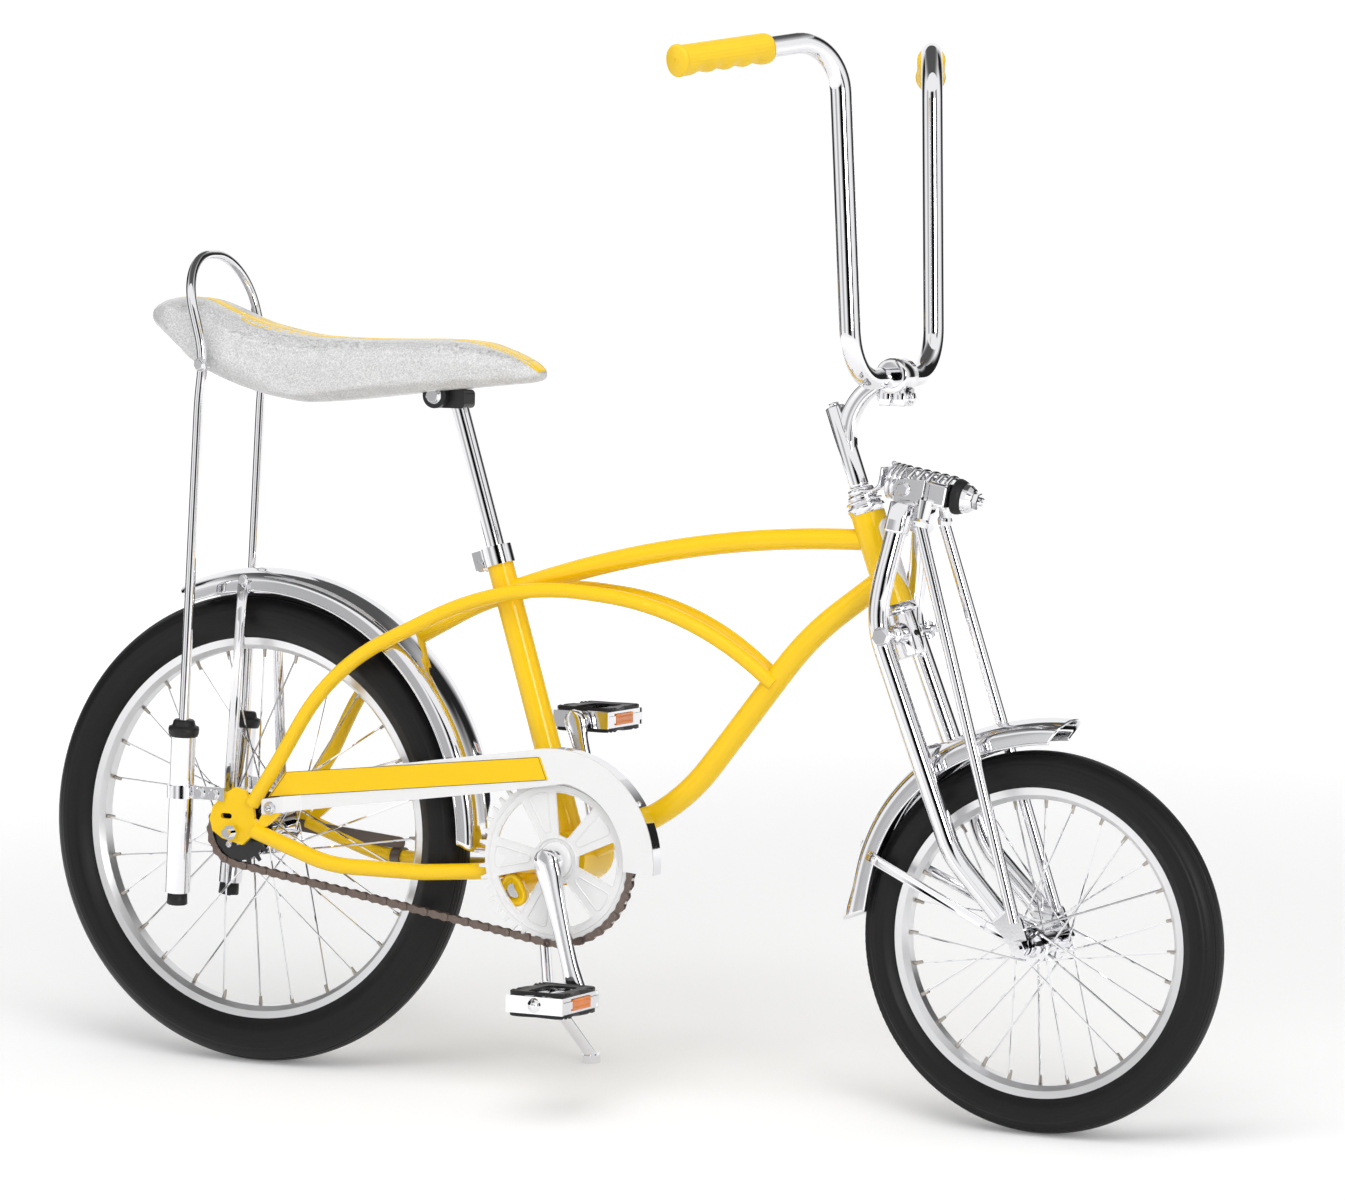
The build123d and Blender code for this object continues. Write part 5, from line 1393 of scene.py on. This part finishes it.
def addPedal(word, side):
    eye = crankEye(side)
    middle = eye + levelWay * side * (crank["thick"] / 2 + pedals["gap"] + pedals["wide"] / 2)
    addPiece("pedalBlocks" + word.capitalize(), *joinParts([pedalBlock(middle, 1), pedalBlock(middle, -1)]),
             "pedal_" + word, "black_rubber", "blackPlastic", ("pedal_pads_" + word,), smooth=False)
    outward, halfLong, metal, amber = levelWay * side, pedals["long"] / 2, [], []
    for face in (-aheadWay, aheadWay):
        plate = roundedBox(40.5, 8.9, 2.5)
        metal.append(prism(plate, middle + face * (halfLong - 3.2), levelWay, riseWay, face, 0, 2.2, 0.5))
        screw = middle + face * (halfLong - 1.1) + outward * 31
        metal.append(spin(pedals["screw"], screw, face, 20))
        lens = middle + face * (halfLong - 1.0) - outward * 2
        amber.append(prism(roundedBox(20, 6.2, 1.2), lens, levelWay, riseWay, face, 0, 1.5, 0.4))
        for row in (-0.5, 0.5):
            for column in range(-5, 6):
                dot = lens + levelWay * column * 3.4 + riseWay * row * 5.6 + face * 1.4
                amber.append(spin(pedals["dot"], dot, face, 6))
    end = middle + outward * (pedals["wide"] / 2)
    dome = [(-5.0, 9.6)] + [(-5.0 + 9.4 * sin(radians(a)), 9.6 * cos(radians(a))) for a in range(15, 91, 15)]
    metal.append(spin(dome, end, outward, 28))
    metal.append(prism(roundedBox(24, 8.6, 6), end, aheadWay, riseWay, outward, -2.6, 0.1, 0.5))
    addPiece("pedalFittings" + word.capitalize(), *joinParts(metal), "pedal_" + word, "chrome", "chrome",
             smooth=False)
    addPiece("pedalReflectors" + word.capitalize(), *joinParts(amber), "pedal_" + word, "yellow_vinyl", "amber",
             smooth=False)


addPedal("right", -1)
addPedal("left", 1)
print("pedals done")

# Chain guard: the yellow panel with a thin outline, its rivet and its tail bolt
guard = {
    "face": -55.2, "panel": ((61.1, 325.0), (371.3, 359.3), (381.2, 335.5), (40.3, 296.7)), "inset": 2.2,
    "tailBolt": (46.0, 285.3), "tailBoltSizes": (4.6, 7.2, 3.2, 1.5), "rivet": (488.3, 316.8), "tailThick": 1.1,
    "tail": (
        # place, low and high edge, face
        (35.2, 279.6, 292.6, -61.0), (37.0, 277.8, 294.8, -61.2), (62.0, 281.6, 298.8, -61.2),
        (82.0, 284.8, 301.4, -55.3)),
}


def addGuardPanel():
    corners = [Vector(p) for p in guard["panel"]]
    middle = sum(corners, Vector((0, 0))) / 4
    origin = Vector((0, guard["face"], 0))
    panel = prism([tuple(p) for p in corners], origin, aheadWay, riseWay, -levelWay, -0.2, 0.35, 0.1)
    addPiece("guardPanel", *panel, "frame", "yellow_paint", "yellowPaint", smooth=False)
    line = []
    for i in range(4):
        a, b = corners[i], corners[(i + 1) % 4]
        a, b = a + (middle - a).normalized() * guard["inset"], b + (middle - b).normalized() * guard["inset"]
        line.append(tube([origin + Vector((p.x, -0.36, p.y)) for p in (a, a * 0.67 + b * 0.33, b)], 0.28, 6))
    addPiece("guardLine", *joinParts(line), "frame", "dark_steel", "blackPlastic")
    rings = []
    for x, low, high, face in guard["tail"]:
        back = face + guard["tailThick"]
        rings.append([Vector((x, face, low)), Vector((x, face, high)), Vector((x, back, high)),
                      Vector((x, back, low))])
    addPiece("guardTail", *loft(rings), "frame", "white_paint", "whitePaint", smooth=False)


addGuardPanel()
tailFace = guard["tail"][1][3]
boltParts = [bolt((guard["tailBolt"][0], tailFace, guard["tailBolt"][1]), -levelWay, *guard["tailBoltSizes"])]

# Bolts and nuts of the frame and the seat
bolts = {
    # place, then hex size, washer, height of the head and, where the thread shows, how far it stands out
    "hoop": ((-41.0, 71.8, 762.0), (5.0, 7.6, 4.2)), "fenderStay": ((-5.0, 36.4, 529.0), (4.2, 6.0, 2.6)),
    "strapFront": ((-22.5, 63.9, 296.0), (4.6, 6.2, 3.4)), "strapRear": ((-40.2, 63.9, 297.0), (4.6, 6.2, 3.4)),
    "dropoutScrew": ((-5.0, 60.6, 243.0), (2.6, 3.4, 1.8)), "clamp": ((219.0, 21.0, 735.5), (6.8, 9.0, 4.5)),
}
collarBolt = {"place": Vector((272.0, 7.2, 554.0)), "right": (4.6, 6.4, 3.6), "left": (4.6, 6.4, 3.6, 2.5)}
for side in (-1, 1):
    for (x, y, z), sizes in bolts.values():
        boltParts.append(bolt((x, side * y, z), levelWay * side, *sizes))
boltParts.append(bolt(collarBolt["place"] * Vector((1, -1, 1)), -levelWay, *collarBolt["right"]))
boltParts.append(bolt(collarBolt["place"], levelWay, *collarBolt["left"]))
rivetSpot = (guard["rivet"][0], guard["face"] + 0.1, guard["rivet"][1])
boltParts.append(spin(((0, 3.2), (1.0, 2.6), (1.3, 0.8)), rivetSpot, -levelWay, 18))
addPiece("frameBolts", *joinParts(boltParts), "frame", "chrome", "chrome", smooth=False)
forkParts = [bolt(crownPivot + way * crown["boltOut"], way, *crown["bolt"]) for way in (-levelWay, levelWay)]
addPiece("forkBolts", *joinParts(forkParts), "fork", "chrome", "chrome", smooth=False)

# The stand's cam housing: a rounded yellow triangle with a bright star nut
cam = {"centre": Vector((331.0, 0, 212.0)), "low": -41.2, "high": -31.0, "radius": 17.5, "nut": 9.5}


def addCam():
    centre, low, rings = cam["centre"], cam["low"], []
    outline = []
    for turn in (2 * pi * j / 60 for j in range(60)):
        outline.append((cam["radius"] * (1 + 0.10 * cos(3 * (turn - pi / 2))), turn))
    for y, inset in ((cam["high"], 1.2), (low + 1.5, 0.0), (low, 1.2), (low, 4.4), (low + 2.5, 5.0)):
        rings.append([aboutAxle(centre.xz, radius - inset, turn, y) for radius, turn in outline])
    addPiece("standCam", *loft(rings), "frame", "yellow_paint", "yellowPaint")
    star = []
    for turn in (2 * pi * j / 36 for j in range(36)):
        radius = cam["nut"] * (0.78 + 0.22 * cos(3 * (turn - pi / 2)))
        star.append((radius * cos(turn), radius * sin(turn)))
    nut = prism(star, centre, aheadWay, riseWay, levelWay, low + 0.6, low + 4, 0.6)
    addPiece("standCamNut", *nut, "frame", "chrome", "chrome", smooth=False)


addCam()
print("guard and bolts done")

# Mudguards: thin sheet with rolled edges, drawn through sections about each wheel
mudguards = {
    "rear": {"half": 33.0, "crownLean": 2.0, "sections": (
        # angle, crown radius, edge radius
        (-2.0, 285.0, 261.0), (20, 285, 261), (50, 287, 263.5), (75, 286.5, 263), (95, 284, 260),
        (104, 281.5, 257.5), (109.5, 280.0, 256.5))},
    "front": {"half": 28.5, "crownLean": 4.5, "sections": (
        (81.8, 233.0, 207.0), (90, 230.5, 205), (100, 228, 202), (122, 227, 200), (140, 224.5, 197.5),
        (156, 220, 193.5), (168, 217, 190.5), (178.2, 222.5, 190.0))},
    "wall": 1.1, "bead": 1.5, "skirt": 9.0, "ridge": 1.0, "ridgeHalf": 0.34, "rings": 84, "steps": 26,
    "frontBolt": {"angle": 156.6, "radius": 219.6, "sizes": (3.6, 5.6, 2.2)},
}


def guardSection(spec, crown, edge):
    # (radius, across) from the near edge over the crown to the far edge, outside first and then back inside
    half, wall = spec["half"], mudguards["wall"]
    shoulder = edge + mudguards["skirt"]
    skirt = [edge, edge + 1.5] + [edge + (shoulder - edge) * share for share in (0.4, 0.7, 1.0)]
    line = [(radius, -half) for radius in skirt]
    for step in range(1, mudguards["steps"]):
        turn = pi * (1 - step / mudguards["steps"])
        across = cos(turn)
        ridge = mudguards["ridge"] * exp(-(abs(across) / mudguards["ridgeHalf"]) ** 6)
        rise = (crown - mudguards["ridge"] - shoulder) * sin(turn) ** 0.92
        line.append((shoulder + rise + ridge, half * across))
    line += [(radius, half) for radius in reversed(skirt)]
    inner = []
    for radius, across in reversed(line):
        thinner = wall * (radius - edge) / (crown - edge) if radius > shoulder else 0
        inner.append((radius - thinner, across * (half - wall) / half))
    return line + inner


def mudguardParts(word):
    spec, axle, count = mudguards[word], wheels[word], mudguards["rings"]
    table = spec["sections"]
    first, last = table[0][0], table[-1][0]
    rings, edges = [], ([], [])
    for i in range(count + 1):
        angle = first + (last - first) * i / count
        crown, edge = smoothTable(table, angle)
        toEnd = (angle - first) / (last - first)
        lean = spec["crownLean"] * (2 * toEnd - 1) ** 5
        ring = []
        for radius, across in guardSection(spec, crown, edge):
            turn = radians(angle - lean * (1 - (radius - edge) / (crown - edge)))
            ring.append(aboutAxle(axle, radius, turn, across))
        rings.append(ring)
        for side, beads in zip((-1, 1), edges):
            beads.append(aboutAxle(axle, edge, radians(angle - lean), side * (spec["half"] - 0.6)))
    return [loft(rings)] + [tube(beads, mudguards["bead"], 8) for beads in edges]


def mudguardBolt(word, angle, radius, sizes):
    turn = radians(angle)
    return bolt(aboutAxle(wheels[word], radius, turn), (cos(turn), 0, sin(turn)), *sizes)


rearParts, frontParts = mudguardParts("rear"), mudguardParts("front")
frontParts.append(mudguardBolt("front", **mudguards["frontBolt"]))
addPiece("rearMudguard", *joinParts(rearParts), "frame", "chrome", "chrome", ("rear_fender",))
addPiece("frontMudguard", *joinParts(frontParts), "fork", "chrome", "chrome", ("front_fender",))
print("mudguards done")

# Flat stays, pressed into a channel with bright edges and a deep middle
stays = {
    "rear": {"top": Vector((-6.0, 34.8, 528.0)), "low": Vector((-8.0, 56.6, 300.0)), "half": 6.0,
             "thick": 3.0, "start": 0.2, "deep": 1.5},
    "front": {"top": Vector((740.0, 30.0, 277.0)), "low": Vector((880.0, 41.0, 214.0)), "half": 5.5,
              "thick": 2.0, "start": 0.12, "deep": 1.0},
    "frontEnd": Vector((925.0, 41.0, 197.0)), "eye": ((-1.0, 5.4), (-1.0, 8.2), (1.0, 8.2), (1.0, 5.4)),
    "rivet": ((0.6, 3.4), (1.6, 2.8), (2.0, 1.2)), "rivetAlong": 9,
    # the bridge over the front mudguard: its angle and radius about the axle, how far it sinks at each place
    "bridgeAngle": 122.7, "bridgeRadius": 229.3,
    "bridgeRivet": ((1.0, 5.2), (1.8, 5.0), (3.2, 3.4), (3.6, 1.0)),
    "bridge": ((-33.0, 2.0), (-31.0, 0.5), (-27, 0), (27, 0), (31.0, 0.5), (33.0, 2.0)),
    "bridgeSection": ((-7, -1), (-7, 0.7), (-6.6, 1), (6.6, 1), (7, 0.7), (7, -1)),
}


def channelStrip(start, end, half, thick, deep, face, share=0.0):
    # A flat bar whose outer face sinks to a groove between its edges, plain over the first share of its length
    way = (end - start).normalized()
    out = (face - way * face.dot(way)).normalized()
    across = way.cross(out)
    rings = []
    for place in (0.0, max(share - 0.02, 0.01), max(share, 0.02) + 0.01, 1.0):
        bottom = 0.5 - (0.0 if place < share else deep) / thick
        edge = ((1.0, -0.5), (1.0, 0.35), (0.93, 0.5), (0.66, 0.5), (0.6, 0.46), (0.35, bottom * 0.6 + 0.2))
        section = [(-u, v) for u, v in edge] + [(0, bottom)] + list(reversed(edge))
        rings.append([start + (end - start) * place + across * half * u + out * thick * v for u, v in section])
    return loft(rings)


def addStays():
    rear, front = [], []
    for side in (-1, 1):
        flip, outward = Vector((1, side, 1)), levelWay * side
        for strips, spec in ((rear, stays["rear"]), (front, stays["front"])):
            strips.append(channelStrip(spec["top"] * flip, spec["low"] * flip, spec["half"], spec["thick"],
                                       spec["deep"], outward, spec["start"]))
        # the front stay goes on to the axle
        spec = stays["front"]
        top, low, end = spec["top"] * flip, spec["low"] * flip, stays["frontEnd"] * flip
        way = (end - low).normalized()
        front.append(channelStrip(low - way * 1.5, end - way * 7, spec["half"], spec["thick"],
                                  spec["deep"] * 0.6, outward))
        front.append(spin(stays["eye"], end, outward, 30))
        rivet = top + (low - top).normalized() * stays["rivetAlong"]
        front.append(spin(stays["rivet"], rivet, outward, 18))
    turn = radians(stays["bridgeAngle"])
    out, along = Vector((cos(turn), 0, sin(turn))), Vector((-sin(turn), 0, cos(turn)))
    crest = aboutAxle(wheels["front"], stays["bridgeRadius"], turn)
    rings = [[crest + levelWay * lateral + along * a + out * (b - sink) for a, b in stays["bridgeSection"]]
             for lateral, sink in stays["bridge"]]
    front += [loft(rings), spin(stays["bridgeRivet"], crest, out, 20)]
    return rear, front


rearParts, frontParts = addStays()
addPiece("rearStays", *joinParts(rearParts), "frame", "chrome", "chrome", ("rear_fender_stays",))
addPiece("frontStays", *joinParts(frontParts), "fork", "chrome", "chrome", ("front_fender_stays",))
print("stays done")

# Rubber caps of the seat's lower struts: a neck, a wide collar and a plug below
struts = {
    "low": Vector((-73.5, 54.5, 172.0)), "high": Vector((-61.0, 65.0, 362.0)),
    "cap": ((-4.0, 13.6), (-4.0, 15.2), (-1.0, 16.4), (3.4, 16.9), (6.4, 16.4), (7.2, 13.4), (8.6, 12.6),
            (12.6, 11.6), (14.0, 10.4), (14.4, 6.2)),
    "plug": ((15.0, 10.6), (1.4, 11.3), (0.4, 10.6), (0.2, 3.0), (-1.2, 2.6)),
}


def addCaps():
    parts = []
    for side in (-1, 1):
        flip = Vector((1, side, 1))
        low, high = struts["low"] * flip, struts["high"] * flip
        way = (high - low).normalized()
        parts.append(spin(struts["cap"], high, way, 36))
        parts.append(spin(struts["plug"], low, way, 30))
    addPiece("strutCaps", *joinParts(parts), "frame", "black_rubber", "blackPlastic", ("strut_caps",))


addCaps()
print("strut caps done")
